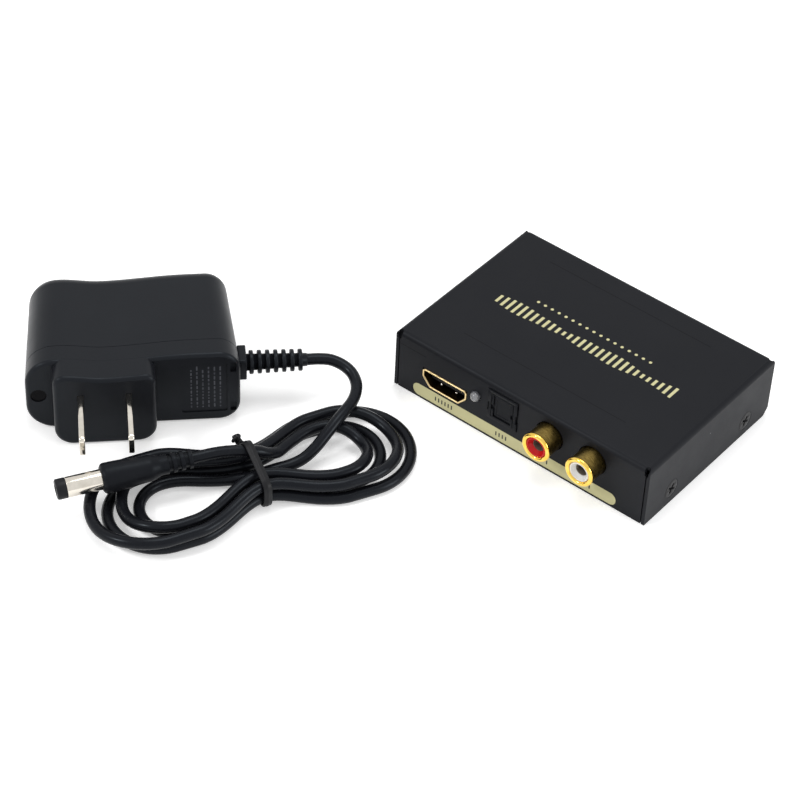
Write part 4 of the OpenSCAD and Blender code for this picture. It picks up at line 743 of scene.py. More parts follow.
def buildPlug():
    neck, groove = plug["neckLength"], plug["neckLength"] * plug["grooveShare"]
    r, sunk = plug["neckRadius"], plug["neckRadius"] - groove * 0.55
    outline = [(0, 0), (r - 0.5, 0)] + arc(r - 0.3, 0.3, 0.3, -90, 0, 4)[1:]
    for i in range(plug["grooves"]):
        low, high = (2 * i + 1) * groove, (2 * i + 2) * groove
        outline += arc(r - 0.12, low - 0.12, 0.12, 0, 90, 3)
        outline += [(sunk + 0.1, low), (sunk, low + 0.1), (sunk, high - 0.1), (sunk + 0.1, high)]
        outline += arc(r - 0.12, high + 0.12, 0.12, -90, 0, 3)
    back, front = plug["gripBackRadius"], plug["gripFrontRadius"]
    # shoulder swells out of the neck, the body widens slowly and rounds into the front face
    for k in range(13):
        s = k / 12
        outline.append((r + (back - r) * smoothStep(s), neck - 0.5 + 3.4 * s))
    for k in range(1, 9):
        s = k / 8
        outline.append((back + (front - back) * smoothStep(s * 0.9), neck + 2.9 + 9.4 * s))
    length = plug["gripLength"]
    edge = 1.3
    outline += arc(front - edge, length - edge, edge, 0, 90, 9)
    outline += [(plug["barrelRadius"] + 0.35, length), (plug["barrelRadius"] + 0.04, length - 0.25),
                (plug["barrelRadius"] + 0.04, plug["barrelRoot"]), (0, plug["barrelRoot"])]
    grip = addObject("plugGrip", turnedMesh("plugGrip", scaledProfile(outline), inPlug),
                     "plugMoulding", "power_adapter", ["plug_grip"])
    total, tip, wall = plug["totalLength"], plug["tipLength"], plug["wall"]
    radius = plug["barrelRadius"]
    sleeve = [(radius - wall, plug["barrelRoot"] + 0.05), (radius, plug["barrelRoot"] + 0.05)]
    sleeve += arc(radius - 0.12, total - tip - 0.14, 0.12, 0, 90, 4) + [(radius - wall, total - tip - 0.02)]
    barrel = addObject("plugBarrel", turnedMesh("plugBarrel", scaledProfile(sleeve), inPlug),
                       "nickel", "power_adapter", ["plug_barrel"])
    inner = plug["contactRadius"] + 0.05
    nose = [(inner, plug["barrelRoot"] + 0.05), (radius - wall - 0.05, plug["barrelRoot"] + 0.05),
            (radius - wall - 0.05, total - tip + 0.02), (radius - 0.1, total - tip + 0.02)]
    nose += arc(radius - 0.1, total - tip + 0.12, 0.1, -90, 0, 3)
    nose += arc(radius - 0.5, total - 0.5, 0.5, 0, 90, 6) + arc(inner + 0.25, total - 0.25, 0.25, 90, 180, 4)
    tipPiece = addObject("plugTip", turnedMesh("plugTip", scaledProfile(nose), inPlug),
                         "blackMoulding", "power_adapter", ["plug_insulator"])
    hole, outer = plug["holeRadius"], plug["contactRadius"]
    low, high = plug["barrelRoot"] - 2.6, total - 0.6
    shadeSheet = [(hole, low), (outer, low)] + arc(outer - 0.1, high - 0.1, 0.1, 0, 90, 3)
    shadeSheet += arc(hole + 0.1, high - 0.1, 0.1, 90, 180, 3)
    contact = addObject("plugContact", turnedMesh("plugContact", scaledProfile(shadeSheet), inPlug),
                        "brass", "power_adapter", ["plug_contact"])
    print("scene: plug made")
    return [grip, barrel, tipPiece, contact]


plugPieces = buildPlug()


# geometry nodes: a row of copies along a line, and copies at given points
def newGeometryTree(name, inputs):
    tree = bpy.data.node_groups.new(name, "GeometryNodeTree")
    tree.interface.new_socket("Geometry", in_out="INPUT", socket_type="NodeSocketGeometry")
    for label, kind in inputs:
        tree.interface.new_socket(label, in_out="INPUT", socket_type=kind)
    tree.interface.new_socket("Geometry", in_out="OUTPUT", socket_type="NodeSocketGeometry")
    return tree, tree.nodes.new("NodeGroupInput"), tree.nodes.new("NodeGroupOutput")


def runTree(name, tree, carrierMesh, values):
    carrier = bpy.data.objects.new(name + "Work", carrierMesh)
    bpy.context.scene.collection.objects.link(carrier)
    modifier = carrier.modifiers.new("copies", "NODES")
    modifier.node_group = tree
    for item in tree.interface.items_tree:
        if item.item_type == "SOCKET" and item.in_out == "INPUT" and item.name in values:
            modifier[item.identifier] = values[item.name]
    bpy.context.view_layer.update()
    graph = bpy.context.evaluated_depsgraph_get()
    made = bpy.data.meshes.new_from_object(carrier.evaluated_get(graph))
    made.name = name
    carrier.modifiers.remove(modifier)
    bpy.data.objects.remove(carrier)
    return made


def buildCopiesTree():
    tree, source, sink = newGeometryTree(
        "copiesAtPoints", [("Copy", "NodeSocketObject"), ("Finish", "NodeSocketMaterial")])
    link = tree.links.new
    info = addNode(tree, "GeometryNodeObjectInfo", transform_space="ORIGINAL")
    turn = addNode(tree, "GeometryNodeInputNamedAttribute", {"Name": "turn"}, data_type="FLOAT_VECTOR")
    size = addNode(tree, "GeometryNodeInputNamedAttribute", {"Name": "size"}, data_type="FLOAT_VECTOR")
    place = addNode(tree, "GeometryNodeInstanceOnPoints")
    real = addNode(tree, "GeometryNodeRealizeInstances")
    paint = addNode(tree, "GeometryNodeSetMaterial")
    link(source.outputs["Geometry"], place.inputs["Points"])
    link(source.outputs["Copy"], info.inputs["Object"])
    link(info.outputs["Geometry"], place.inputs["Instance"])
    link(turn.outputs["Attribute"], place.inputs["Rotation"])
    link(size.outputs["Attribute"], place.inputs["Scale"])
    link(place.outputs["Instances"], real.inputs["Geometry"])
    link(real.outputs["Geometry"], paint.inputs["Geometry"])
    link(source.outputs["Finish"], paint.inputs["Material"])
    link(paint.outputs["Geometry"], sink.inputs["Geometry"])
    return tree


copiesTree = buildCopiesTree()


def copiesMesh(name, pattern, places, finish, sharpAngle=32):
    carrier = bpy.data.meshes.new(name + "Points")
    carrier.from_pydata([tuple(p) for p, _, _ in places], [], [])
    turns = carrier.attributes.new("turn", "FLOAT_VECTOR", "POINT")
    sizes = carrier.attributes.new("size", "FLOAT_VECTOR", "POINT")
    for i, (_, turn, size) in enumerate(places):
        turns.data[i].vector = turn
        sizes.data[i].vector = size
    helper = bpy.data.objects.new(name + "Pattern", pattern)
    bpy.context.scene.collection.objects.link(helper)
    made = runTree(name, copiesTree, carrier, {"Copy": helper, "Finish": materials[finish]})
    bpy.data.objects.remove(helper)
    smoothMesh(made, sharpAngle)
    return made


# the strain relief: a square collar, a clamped neck and a tail of ribs
relief = {"x": 28.24, "y": 9.033, "z": 12.27, "collar": 7.0, "collarThickness": 2.3, "length": 18.8,
          "ribs": 7, "firstRib": 3.26, "lastRib": 3.01, "coreBack": 2.36, "coreTip": 1.8,
          "neck": 2.625, "wall": 1.8, "flange": 1.2, "slack": 0.4}
inRelief = (inAdapter @ Matrix.Translation(Vector((relief["x"], relief["y"], relief["z"])) * mm)
            @ Matrix.Rotation(math.pi / 2, 4, "Y"))


def buildStrainRelief():
    half = relief["collar"] / 2
    square = [(-half, -half), (half, -half), (half, half), (-half, half)]
    collar = prismMesh("collarPart", [(x * mm, y * mm) for x, y in filleted(square, 0.7)],
                       0, relief["collarThickness"] * mm, Matrix.Identity(4))
    collar = softened("collarPart", collar, 0.3 * mm, 3)
    low = -(relief["wall"] + relief["slack"] + relief["flange"])
    start, tip = relief["collarThickness"] / 2, relief["length"]
    core = [(0, low), (3.9, low), (3.9, low + relief["flange"]), (relief["neck"], low + relief["flange"]),
            (relief["neck"], start), (relief["coreBack"], start), (relief["coreTip"], tip - 0.2),
            (relief["coreTip"] - 0.15, tip), (0, tip)]
    corePart = turnedMesh("reliefCorePart", scaledProfile(core), Matrix.Identity(4), 64)
    pitch = (relief["length"] - relief["collarThickness"]) / (relief["ribs"] + 0.5)
    half = pitch / 4
    # a rib of unit radius is scaled to its own radius, its thickness stays
    ribProfile = [(0.6, -half), (0.93, -half), (0.985, -half + 0.1), (1.0, -half + 0.28),
                  (1.0, half - 0.28), (0.985, half - 0.1), (0.93, half), (0.6, half)]
    ribPart = turnedMesh("ribPattern", ribProfile, Matrix.Identity(4), 64)
    places = []
    for i in range(relief["ribs"]):
        radius = relief["firstRib"] + (relief["lastRib"] - relief["firstRib"]) * i / (relief["ribs"] - 1)
        height = relief["collarThickness"] + pitch * (i + 0.5) + half / 2
        places.append(((0, 0, height * mm), (0, 0, 0), (radius * mm, radius * mm, mm)))
    ribs = copiesMesh("reliefRibs", ribPart, places, "adapterMoulding", 40)
    mesh = joined("strainRelief", [collar, corePart, ribs])
    mesh.transform(inRelief)
    smoothMesh(mesh, 40)
    return addObject("strainRelief", mesh, "adapterMoulding", "power_adapter",
                     ["strain_relief"])


strainRelief = buildStrainRelief()
print("scene: strain relief and tie made")


# the adapter's two shells
def adapterOutline(y, inset):
    share = y / adapter["depth"]
    half = (adapter["width"] + (adapter["rearWidth"] - adapter["width"]) * share) / 2 - inset
    low = inset
    high = adapter["height"] + (adapter["rearHeight"] - adapter["height"]) * share - inset
    left = max(adapter["leftRound"] - inset, adapter["frontRound"])
    right = max(adapter["rightRound"] - inset, adapter["frontRound"])
    steps, top = adapter["cornerSteps"], adapter["topSteps"]
    span = (half - right) - (left - half)
    ring = arc(half - right, low + right, right, 270, 360, steps)
    ring += arc(half - right, high - right, right, 0, 90, steps)
    ring += [(half - right - span * i / top, high) for i in range(1, top)]
    ring += arc(left - half, high - left, left, 90, 180, steps)
    ring += arc(left - half, low + left, left, 180, 270, steps)
    ring += [(left - half + span * i / top, low) for i in range(1, top)]
    return ring


def adapterDip(x):
    start, middle, end = (adapter["width"] * share for share in adapter["dipShares"])
    s = (x - start) / (middle - start) if x < middle else (end - x) / (end - middle)
    return adapter["dipDepth"] * smoothStep(s)


def blockRing(y, inset):
    height = adapter["height"] + (adapter["rearHeight"] - adapter["height"]) * y / adapter["depth"]
    half, top = adapter["blockWidth"] / 2 - inset, height - adapter["blockSink"] - inset
    foot, edge = adapter["blockFootRound"] - inset, adapter["blockRound"] - inset
    ring = arc(half - foot, inset + foot, foot, 270, 360, 12) + arc(half - edge, top - edge, edge, 0, 90, 12)
    span = 2 * (half - edge)
    ring += [(half - edge - span * i / 24, top) for i in range(1, 24)]
    ring += arc(edge - half, top - edge, edge, 90, 180, 12)
    ring += arc(foot - half, inset + foot, foot, 180, 270, 12)
    ring = [(x + adapter["blockX"], z) for x, z in ring]
    return [(x, y, z - adapterDip(x) * z / height) for x, z in ring]


def adapterRing(y, inset):
    height = adapter["height"] + (adapter["rearHeight"] - adapter["height"]) * y / adapter["depth"]
    return [(x, y, z - adapterDip(x) * z / height) for x, z in adapterOutline(y, inset)]


def skinMesh(name, rings, matrix, sharpAngle=32):
    count = len(rings[0])
    points = [p for ring in rings for p in ring]
    faces = [tuple(range(count)), tuple((len(rings) - 1) * count + i for i in range(count - 1, -1, -1))]
    for k in range(len(rings) - 1):
        faces += [(k * count + i, (k + 1) * count + i, (k + 1) * count + (i + 1) % count,
                   k * count + (i + 1) % count) for i in range(count)]
    return meshFrom(name, points, faces, matrix, sharpAngle)


def frontRings(start, end, radius):
    steps = adapter["edgeSteps"]
    rings = [adapterRing(start + radius * (1 - math.cos(math.pi / 2 * i / steps)),
                         radius * (1 - math.sin(math.pi / 2 * i / steps))) for i in range(steps + 1)]
    return rings + [adapterRing(end, 0)]


def rearRings(start, end, inset, radius):
    steps = adapter["edgeSteps"]
    rings = [adapterRing(start, inset), adapterRing((start + end) / 2, inset)]
    return rings + [adapterRing(end - radius * (1 - math.sin(math.pi / 2 * i / steps)),
                                inset + radius * (1 - math.cos(math.pi / 2 * i / steps)))
                    for i in range(steps + 1)]


def buildAdapterShells():
    wall, seam, gap = adapter["wall"], adapter["seam"], adapter["seamGap"]
    one = Matrix.Identity(4)
    body = skinMesh("frontBody", frontRings(0, seam - gap / 2, adapter["frontRound"]), one)
    front, radius, steps = -adapter["blockDepth"], adapter["blockFrontRound"], adapter["edgeSteps"]
    rings = [blockRing(front + radius * (1 - math.cos(math.pi / 2 * i / steps)),
                       radius * (1 - math.sin(math.pi / 2 * i / steps))) for i in range(steps + 1)]
    blockPart = skinMesh("blockPart", rings + [blockRing(wall, 0)], one)
    shell = carved("frontShell", body, [blockPart], "UNION")
    cuts = [skinMesh("hollow", [adapterRing(wall, wall), adapterRing(seam + mm, wall)], one)]
    inner = adapter["blockWidth"] / 2 - adapter["blockRound"]
    cuts.append(boxMesh("blockHollow", (adapter["blockX"] - inner, wall - adapter["blockDepth"], 2 * wall),
                        (adapter["blockX"] + inner, wall + mm, adapter["height"] - 2 * wall)))
    for side in (-1, 1):
        x = adapter["blockX"] + side * adapter["bladePitch"] / 2
        w, t = adapter["bladeWidth"] / 2 + 0.05 * mm, adapter["bladeThickness"] / 2 + 0.05 * mm
        cuts.append(boxMesh("bladeSlot", (x - t, -adapter["blockDepth"] - mm, adapter["bladeZ"] - w),
                            (x + t, wall, adapter["bladeZ"] + w)))
    x, z = adapter["labelX"], adapter["height"] / 2
    w, h, deep = adapter["labelWidth"] / 2, adapter["labelHeight"] / 2, adapter["labelDepth"]
    face = Matrix.Rotation(math.pi / 2, 4, "X")
    plate = filleted([(x - w, z - h), (x + w, z - h), (x + w, z + h), (x - w, z + h)], 0.7 * mm)
    cuts.append(prismMesh("labelCut", plate, -deep, mm, face))
    notch = 1.6 * mm
    for end in (0, 1):
        low = z - h + end * (2 * h - 2 * notch)
        near, far = (x + w + notch / 2, -mm, low), (x + w + notch * 1.5, notch / 2, low + 2 * notch)
        cuts.append(boxMesh("notchCut", near, far))
    lens = Matrix.Translation((adapter["lensX"], wall + mm, adapter["lensZ"])) @ face
    hole = adapter["lensWidth"] / 2 + 0.05 * mm
    drill = [(0, 0), (hole, 0), (hole, wall + 3 * mm), (0, wall + 3 * mm)]
    cuts.append(turnedMesh("lensCut", drill, lens, 48))
    reliefCut = turnedMesh("reliefCut", scaledProfile([(0, -6), (2.675, -6), (2.675, 3), (0, 3)]),
                           inAdapter.inverted() @ inRelief, 48)
    cuts.append(reliefCut)
    front = carved("frontShell", shell, cuts)
    smoothMesh(front, 32)
    front = softened("frontShell", front, 0.12 * mm, 2, 40)
    front.transform(inAdapter)
    addObject("adapterFront", front, "adapterMoulding", "power_adapter",
              ["adapter_front_shell"])
    rear = skinMesh("rearShell", rearRings(seam + gap / 2, adapter["depth"], 0, adapter["rearRound"]), one)
    depth, rounding = adapter["depth"] - wall, adapter["rearRound"] - wall
    hollow = skinMesh("rearHollow", [adapterRing(seam - mm, wall)]
                      + rearRings(seam + wall, depth, wall, rounding), one)
    rear = carved("rearShell", rear, [hollow, reliefCut])
    smoothMesh(rear, 32)
    rear = softened("rearShell", rear, 0.12 * mm, 2, 40)
    rear.transform(inAdapter)
    addObject("adapterRear", rear, "adapterMoulding", "power_adapter",
              ["adapter_rear_shell"])
    # a lip behind the seam, as the two shells overlap there; it is coloured near-black, darker than the
    # shells, as painted shade in the seam gap
    low, high = seam - adapter["lipReach"], seam + adapter["lipReach"]
    lip = skinMesh("seamLip", [adapterRing(low, 0.2 * mm), adapterRing(high, 0.2 * mm)], one)
    core = skinMesh("seamCore", [adapterRing(low - mm, wall / 2), adapterRing(high + mm, wall / 2)], one)
    lip = carved("seamLip", lip, [core])
    lip.transform(inAdapter)
    addObject("seamLip", lip, "darkLens", "power_adapter")
    print("scene: adapter shells made")


buildAdapterShells()


def buildBlades():
    w, t = adapter["bladeWidth"] / 2, adapter["bladeThickness"] / 2
    tip = -adapter["blockDepth"] - adapter["bladeLength"]
    cut, hole = adapter["bladeWidth"] / 5, 1.575 * mm
    outline = filleted([(tip, -w), (tip, w), (12 * mm, w), (12 * mm, -w)], cut, 5)
    made = []
    for side in (-1, 1):
        x = adapter["blockX"] + side * adapter["bladePitch"] / 2
        # outline's first axis runs along the adapter's depth, its second one upwards
        stand = Matrix(((0, 0, 1, x), (1, 0, 0, 0), (0, 1, 0, adapter["bladeZ"]), (0, 0, 0, 1)))
        blade = prismMesh("bladePart", outline, -t, t, stand)
        drill = (Matrix.Translation((x - 2 * t, tip + 4.6 * mm, adapter["bladeZ"]))
                 @ Matrix.Rotation(math.pi / 2, 4, "Y"))
        bore = turnedMesh("bladeHole", [(0, 0), (hole, 0), (hole, 4 * t), (0, 4 * t)], drill, 40)
        blade = carved("bladePart", blade, [bore])
        smoothMesh(blade, 32)
        made.append(softened("bladePart", blade, 0.28 * mm, 3, 40))
    mesh = joined("plugBlades", made)
    mesh.transform(inAdapter)
    smoothMesh(mesh, 32)
    addObject("plugBlades", mesh, "nickel", "power_adapter", ["plug_blades"])


buildBlades()


# the enclosure's cover and other boxy parts: copies of the CAD meshes with softened edges
def softenedCopy(node, finish, body, width, segments=2, angle=35):
    mesh = nodes[node].data.copy()
    shape = bmesh.new()
    shape.from_mesh(mesh)
    bmesh.ops.remove_doubles(shape, verts=shape.verts, dist=2e-6)
    bmesh.ops.dissolve_limit(shape, angle_limit=math.radians(0.5), verts=shape.verts, edges=shape.edges)
    shape.to_mesh(mesh)
    shape.free()
    smoothMesh(mesh, 32)
    mesh = softened(node + "Soft", mesh, width, segments, angle)
    name = "".join(w.capitalize() if i else w for i, w in enumerate(node.split("_")))
    return addObject(name + "Soft", mesh, finish, body, [node])


softenedCopy("top_cover", "powderCoat", "converter", 0.12 * mm)
opticalFrame = softenedCopy("optical_socket", "portMoulding", "converter", 0.05 * mm)
softenedCopy("optical_shutter", "blackMoulding", "shutter", 0.06 * mm)
softenedCopy("power_socket", "blackMoulding", "converter", 0.1 * mm)
softenedCopy("mode_switch_knob", "blackMoulding", "mode_knob", 0.08 * mm)
optical = {"x": -5.3, "face": -29.4, "lineHalf": 3.7, "lineWidth": 0.2, "lineDepth": 0.3, "lineLow": 8.2,
           "lineHigh": 16.3, "padHalf": 2.7, "padLow": 8.75, "padHigh": 15.5, "padFront": -29.1,
           "padBack": -28.25, "padField": 0.12}


def finishOpticalSocket():
    x, face, half, wide = (optical[k] for k in ("x", "face", "lineHalf", "lineWidth"))
    deep, low, high = face + optical["lineDepth"], optical["lineLow"], optical["lineHigh"]
    cuts = [((x - half, low), (x - half + wide, high)), ((x + half - wide, low), (x + half, high)),
            ((x - half, high - wide), (x + half, high))]
    tools = [boxMesh("lineCut", (a[0] * mm, (face - 1) * mm, a[1] * mm), (b[0] * mm, deep * mm, b[1] * mm))
             for a, b in cuts]
    mesh = carved("opticalFrame", opticalFrame.data, tools)
    opticalFrame.data = mesh
    smoothMesh(mesh, 32)
    w, low, high = optical["padHalf"], optical["padLow"], optical["padHigh"]
    front, back, field = optical["padFront"], optical["padBack"], optical["padField"]
    pad = boxMesh("shutterPad", ((x - w) * mm, front * mm, low * mm), ((x + w) * mm, back * mm, high * mm))
    dent = boxMesh("padCut", ((x - w + 0.7) * mm, (front - 1) * mm, (low + 0.7) * mm),
                   ((x + w - 0.7) * mm, (front + field) * mm, (high - 0.9) * mm))
    pad = softened("shutterPad", carved("shutterPad", pad, [dent]), 0.1 * mm, 2)
    addObject("shutterPad", pad, "portMoulding", "shutter")


finishOpticalSocket()
print("scene: cover and boxy parts softened")


# side screws with a cross recess
screws = {"spacing": 34.6 * mm, "height": 5 * mm, "head": 5.6 * mm, "headDepth": 1.4 * mm,
          "thread": 3 * mm, "length": 4 * mm, "turn": 30}


def buildScrews():
    head, thread = screws["head"] / 2, screws["thread"] / 2
    profile = [(0, 0), (head - 0.25 * mm, 0.0), (head - 0.06 * mm, 0.05 * mm), (head, 0.2 * mm),
               (thread + 0.1 * mm, screws["headDepth"]), (thread, screws["headDepth"] + 0.1 * mm)]
    pitch = 0.5 * mm
    h = screws["headDepth"] + 0.2 * mm
    while h < screws["length"] - 0.3 * mm:
        profile += [(thread, h), (thread - 0.2 * mm, h + pitch / 2)]
        h += pitch
    profile += [(thread - 0.25 * mm, screws["length"]), (0, screws["length"])]
    body = turnedMesh("screwPart", profile, Matrix.Identity(4), 48)
    arms = []
    for turn in (0, 90):
        arm, tip = head * 0.56, head * 0.12
        blade = [(-arm, -0.1 * mm), (arm, -0.1 * mm), (arm * 0.8, 0.55 * mm), (tip, 0.95 * mm),
                 (-tip, 0.95 * mm), (-arm * 0.8, 0.55 * mm)]
        wide = head * 0.13
        matrix = (Matrix.Rotation(math.radians(turn + screws["turn"]), 4, "Z")
                  @ Matrix.Rotation(math.pi / 2, 4, "X"))
        arms.append(prismMesh("crossPart", blade, -wide, wide, matrix))
    body = carved("screwPart", body, arms)
    smoothMesh(body, 32)
    body = softened("screwPart", body, 0.05 * mm, 2, 40)
    places = []
    for side in (-1, 1):
        for end in (-1, 1):
            places.append(((side * sideFace, end * screws["spacing"] / 2, screws["height"]),
                           (0, -side * math.pi / 2, 0), (1, 1, 1)))
    mesh = copiesMesh("coverScrews", body, places, "blackSteel")
    addObject("coverScrews", mesh, "blackSteel", "converter", ["cover_screws"])
    print("scene: screws made")


buildScrews()


# audio sockets: heights run outwards from the panel, in millimetres
jacks = {"x": (10.1, 24.1), "z": 12.3, "radius": 4.15, "lipRadius": 4.4, "length": 6.4, "wall": 0.5,
         "root": -5.95, "hole": 1.75, "insulator": 3.6, "lipRound": 0.66,
         "contact": 1.72, "contactWall": 0.12, "contactSink": 1.6, "boreFloor": -3.95}


def buildJacks():
    r, lip, length, wall, root = (jacks[k] for k in ("radius", "lipRadius", "length", "wall", "root"))
    edge = jacks["lipRound"]
    barrel = [(r - wall, root), (r, root), (r, length - 1.6 * edge), (r - wall, length - 1.6 * edge)]
    rim = arc(lip - edge, length - edge, edge, -62, 180, 24)
    rim += [(lip - 2 * edge, length - 1.9 * edge), (r - 0.02, length - 1.95 * edge)]
    rim.append(rim[0])
    hole, outer, seen = jacks["hole"], jacks["insulator"], lip - 2 * edge - 0.03
    front = length - 0.55 * edge
    # a crowned ring inside the lip that dips into the hole
    plastic = [(hole, root), (outer, root), (outer, length - 2.4 * edge), (seen, length - 1.75 * edge)]
    plastic += arc(seen - 0.35, front - 0.35, 0.35, 0, 90, 6)
    dish = seen - 0.45 - hole
    for s in (0.1, 0.25, 0.4, 0.55, 0.7, 0.85, 1.0):
        swing = math.cos(s * math.pi / 2)
        plastic.append((hole + dish * swing, front - 0.9 * (1 - swing) - 0.55 * s))
    for x, side, tone, slot in ((jacks["x"][0], "red", "redInsulator", "red_plastic"),
                                (jacks["x"][1], "white", "whiteInsulator", "white_plastic")):
        stand = outward(x * mm, jacks["z"] * mm)
        addObject(side + "JackBarrel", turnedMesh(side + "JackBarrel", scaledProfile(barrel), stand, 128),
                  "paintedShadeGilt", "converter", [side + "_socket_barrel"])
        addObject(side + "JackRim", turnedMesh(side + "JackRim", scaledProfile(rim), stand, 128), "gilt",
                  "converter")
        ringMesh = turnedMesh(side + "JackInsulator", scaledProfile(plastic), stand, 96)
        addObject(side + "JackInsulator", ringMesh, tone, "converter", [side + "_socket_insulator"])
        bore, sink = jacks["contact"], length - jacks["contactSink"]
        inner = bore - jacks["contactWall"]
        floor = jacks["boreFloor"]
        tube = [(inner, floor - 0.35), (bore, floor - 0.35), (bore, sink - 0.1), (bore - 0.04, sink),
                (inner + 0.04, sink), (inner, sink - 0.1), (inner, floor), (0, floor - 0.05),
                (0, floor - 0.25), (inner, floor - 0.25)]
        addObject(side + "JackContact", turnedMesh(side + "JackContact", scaledProfile(tube), stand, 64),
                  "dullContact", "converter", [side + "_socket_contact"])
    print("scene: audio sockets made")


buildJacks()


# status light
light = {"x": -14.4, "z": 11.7, "radius": 1.5, "proud": 1.6, "flange": 1.95}


def buildLight():
    r, proud = light["radius"], light["proud"]
    middle = proud - r
    profile = [(0, -3.7), (r, -3.7), (r, -2.2), (light["flange"], -2.2), (light["flange"], -1.2), (r, -1.2),
               (r, middle - 0.05)] + arc(0, middle, r, 0, 90, 16)
    profile[-1] = (0, proud)
    stand = outward(light["x"] * mm, light["z"] * mm)
    addObject("statusDome", turnedMesh("statusDome", scaledProfile(profile), stand, 64), "lightDome",
              "converter", ["status_light"])
    cup = [(0.0, -1.6), (0.6, -1.6), (1.05, 0.2), (0.95, 0.25), (0.4, -0.5), (0.0, -0.55)]
    addObject("statusCup", turnedMesh("statusCup", scaledProfile(cup), stand, 32), "nickel",
              "converter")


buildLight()


# video sockets: a folded gilt shell with rounded corners and spring leaves
videoShell = {"width": 14.9, "height": 5.6, "foot": 9.9, "shoulder": 2.9, "wall": 0.45,
              "length": 11.2, "proud": 0.3, "round": 0.9, "frontX": -24.9, "rearX": -11.0,
              "base": 5.6}


def videoOutline(grow, radius):
    w, h, foot, shoulder = (videoShell[k] for k in ("width", "height", "foot", "shoulder"))
    corners = [(-w / 2 - grow, h + grow), (-w / 2 - grow, shoulder - grow / 2),
               (-foot / 2 - grow / 2, -grow), (foot / 2 + grow / 2, -grow),
               (w / 2 + grow, shoulder - grow / 2), (w / 2 + grow, h + grow)]
    return filleted(corners[::-1], radius, 6)


def buildVideoShell(name, matrix, node):
    wall, proud, length = videoShell["wall"], videoShell["proud"], videoShell["length"]
    outer, inner = videoOutline(0, videoShell["round"]), videoOutline(-wall, videoShell["round"] - wall * 0.7)
    middle = videoOutline(-wall / 2, videoShell["round"] - wall * 0.35)
    edge = wall * 0.3
    rounding = videoShell["round"]
    outerEdge = videoOutline(-edge * 0.4, rounding)
    innerEdge = videoOutline(-wall + edge * 0.4, rounding - wall * 0.6)
    loops = [(outer, -length + proud), (outer, proud - edge), (outerEdge, proud - edge * 0.4),
             (middle, proud), (innerEdge, proud - edge * 0.4), (inner, proud - edge),
             (inner, -length + proud + wall)]
    count = len(outer)
    points = [(x * mm, z * mm, h * mm) for loop, h in loops for x, z in loop]
    faces = []
    for k in range(len(loops) - 1):
        faces += [(k * count + i, k * count + (i + 1) % count, (k + 1) * count + (i + 1) % count,
                   (k + 1) * count + i) for i in range(count)]
    last = (len(loops) - 1) * count
    faces += [tuple(last + i for i in range(count)), tuple(range(count - 1, -1, -1))]
    shell = meshFrom(name, points, faces, None, 40)
    # a dark sheet just inside the shell's walls and back: painted shade of the socket's interior
    shadeSheet = []
    for grow, depth in ((-wall - 0.01, proud - 0.3), (-wall - 0.04, proud - 0.36),
                        (-wall - 0.04, proud - length + wall + 0.1),
                        (-wall - 0.01, proud - length + wall + 0.05)):
        outline = videoOutline(grow, rounding - wall * 0.7)
        shadeSheet.append([(x * mm, z * mm, depth * mm) for x, z in outline])
    shadeSheetPoints = [p for ring in shadeSheet for p in ring]
    shadeSheetFaces = []
    for k in range(3):
        shadeSheetFaces += [(k * count + i, k * count + (i + 1) % count, (k + 1) * count + (i + 1) % count,
                         (k + 1) * count + i) for i in range(count)]
    shadeSheetFaces.append(tuple(3 * count + i for i in range(count)))
    shadeSheetMesh = meshFrom(name + "Lining", shadeSheetPoints, shadeSheetFaces, matrix, 40)
    addObject(name + "Lining", shadeSheetMesh, "paintedShadeBronze", "converter")
    # spring leaves bend inwards from the top and the foot, with a bright dimple on the lower ones; the leaves
    # are coloured dark bronze as painted shade
    leaves = []
    for x, low, way in ((-3.6, videoShell["height"] - wall, -1), (3.6, videoShell["height"] - wall, -1),
                        (-2.6, wall, 1), (2.6, wall, 1)):
        path = []
        for k in range(9):
            s = k / 8
            bend = 0.02 + 0.42 * math.sin(math.pi * min(1, s * 1.15))
            path.append((low + way * bend, proud - 1.2 - 4.2 * s))
        w, t = 0.75, 0.12
        ringed = [[(x - w, z - t / 2), (x + w, z - t / 2), (x + w, z + t / 2), (x - w, z + t / 2)]
                  for z, _ in path]
        pts = [(px * mm, pz * mm, h * mm) for ring, (_, h) in zip(ringed, path) for px, pz in ring]
        fcs = [(0, 1, 2, 3), tuple(len(pts) - 1 - i for i in range(4))]
        for k in range(8):
            fcs += [(k * 4 + i, (k + 1) * 4 + i, (k + 1) * 4 + (i + 1) % 4, k * 4 + (i + 1) % 4)
                    for i in range(4)]
        leaves.append(meshFrom("leafPart", pts, fcs, None, 50))
    leafMesh = joined(name + "Leaves", leaves)
    leafMesh.transform(matrix)
    addObject(name + "Leaves", leafMesh, "paintedShadeBronze", "converter")
    domes = []
    for x in (-2.6, 2.6):
        domes.append(turnedMesh("domePart", scaledProfile(arc(0, 0, 0.42, 0, 90, 6) + [(0, 0)]),
                                Matrix.Translation((x * mm, (wall + 0.44) * mm, (proud - 2.6) * mm))
                                @ Matrix.Rotation(-math.pi / 2, 4, "X"), 24))
    domeMesh = joined(name + "Dimples", domes)
    domeMesh.transform(matrix)
    addObject(name + "Dimples", domeMesh, "nickel", "converter")
    mesh = shell
    mesh.transform(matrix)
    smoothMesh(mesh, 40)
    addObject(name, mesh, "paleGilt", "converter", [node])


# panel frame of a socket: first axis along the panel, second one up, third one outwards
upright = Matrix.Rotation(math.pi / 2, 4, "X")
panelBase = videoShell["base"] * mm
frontPanel = Matrix.Translation((videoShell["frontX"] * mm, frontFace, panelBase)) @ upright
rearPanel = (Matrix.Rotation(math.pi, 4, "Z")
             @ Matrix.Translation((-videoShell["rearX"] * mm, frontFace, panelBase)) @ upright)
buildVideoShell("videoOutShell", frontPanel, "video_out_shell")
buildVideoShell("videoInShell", rearPanel, "video_in_shell")
print("scene: video sockets made")


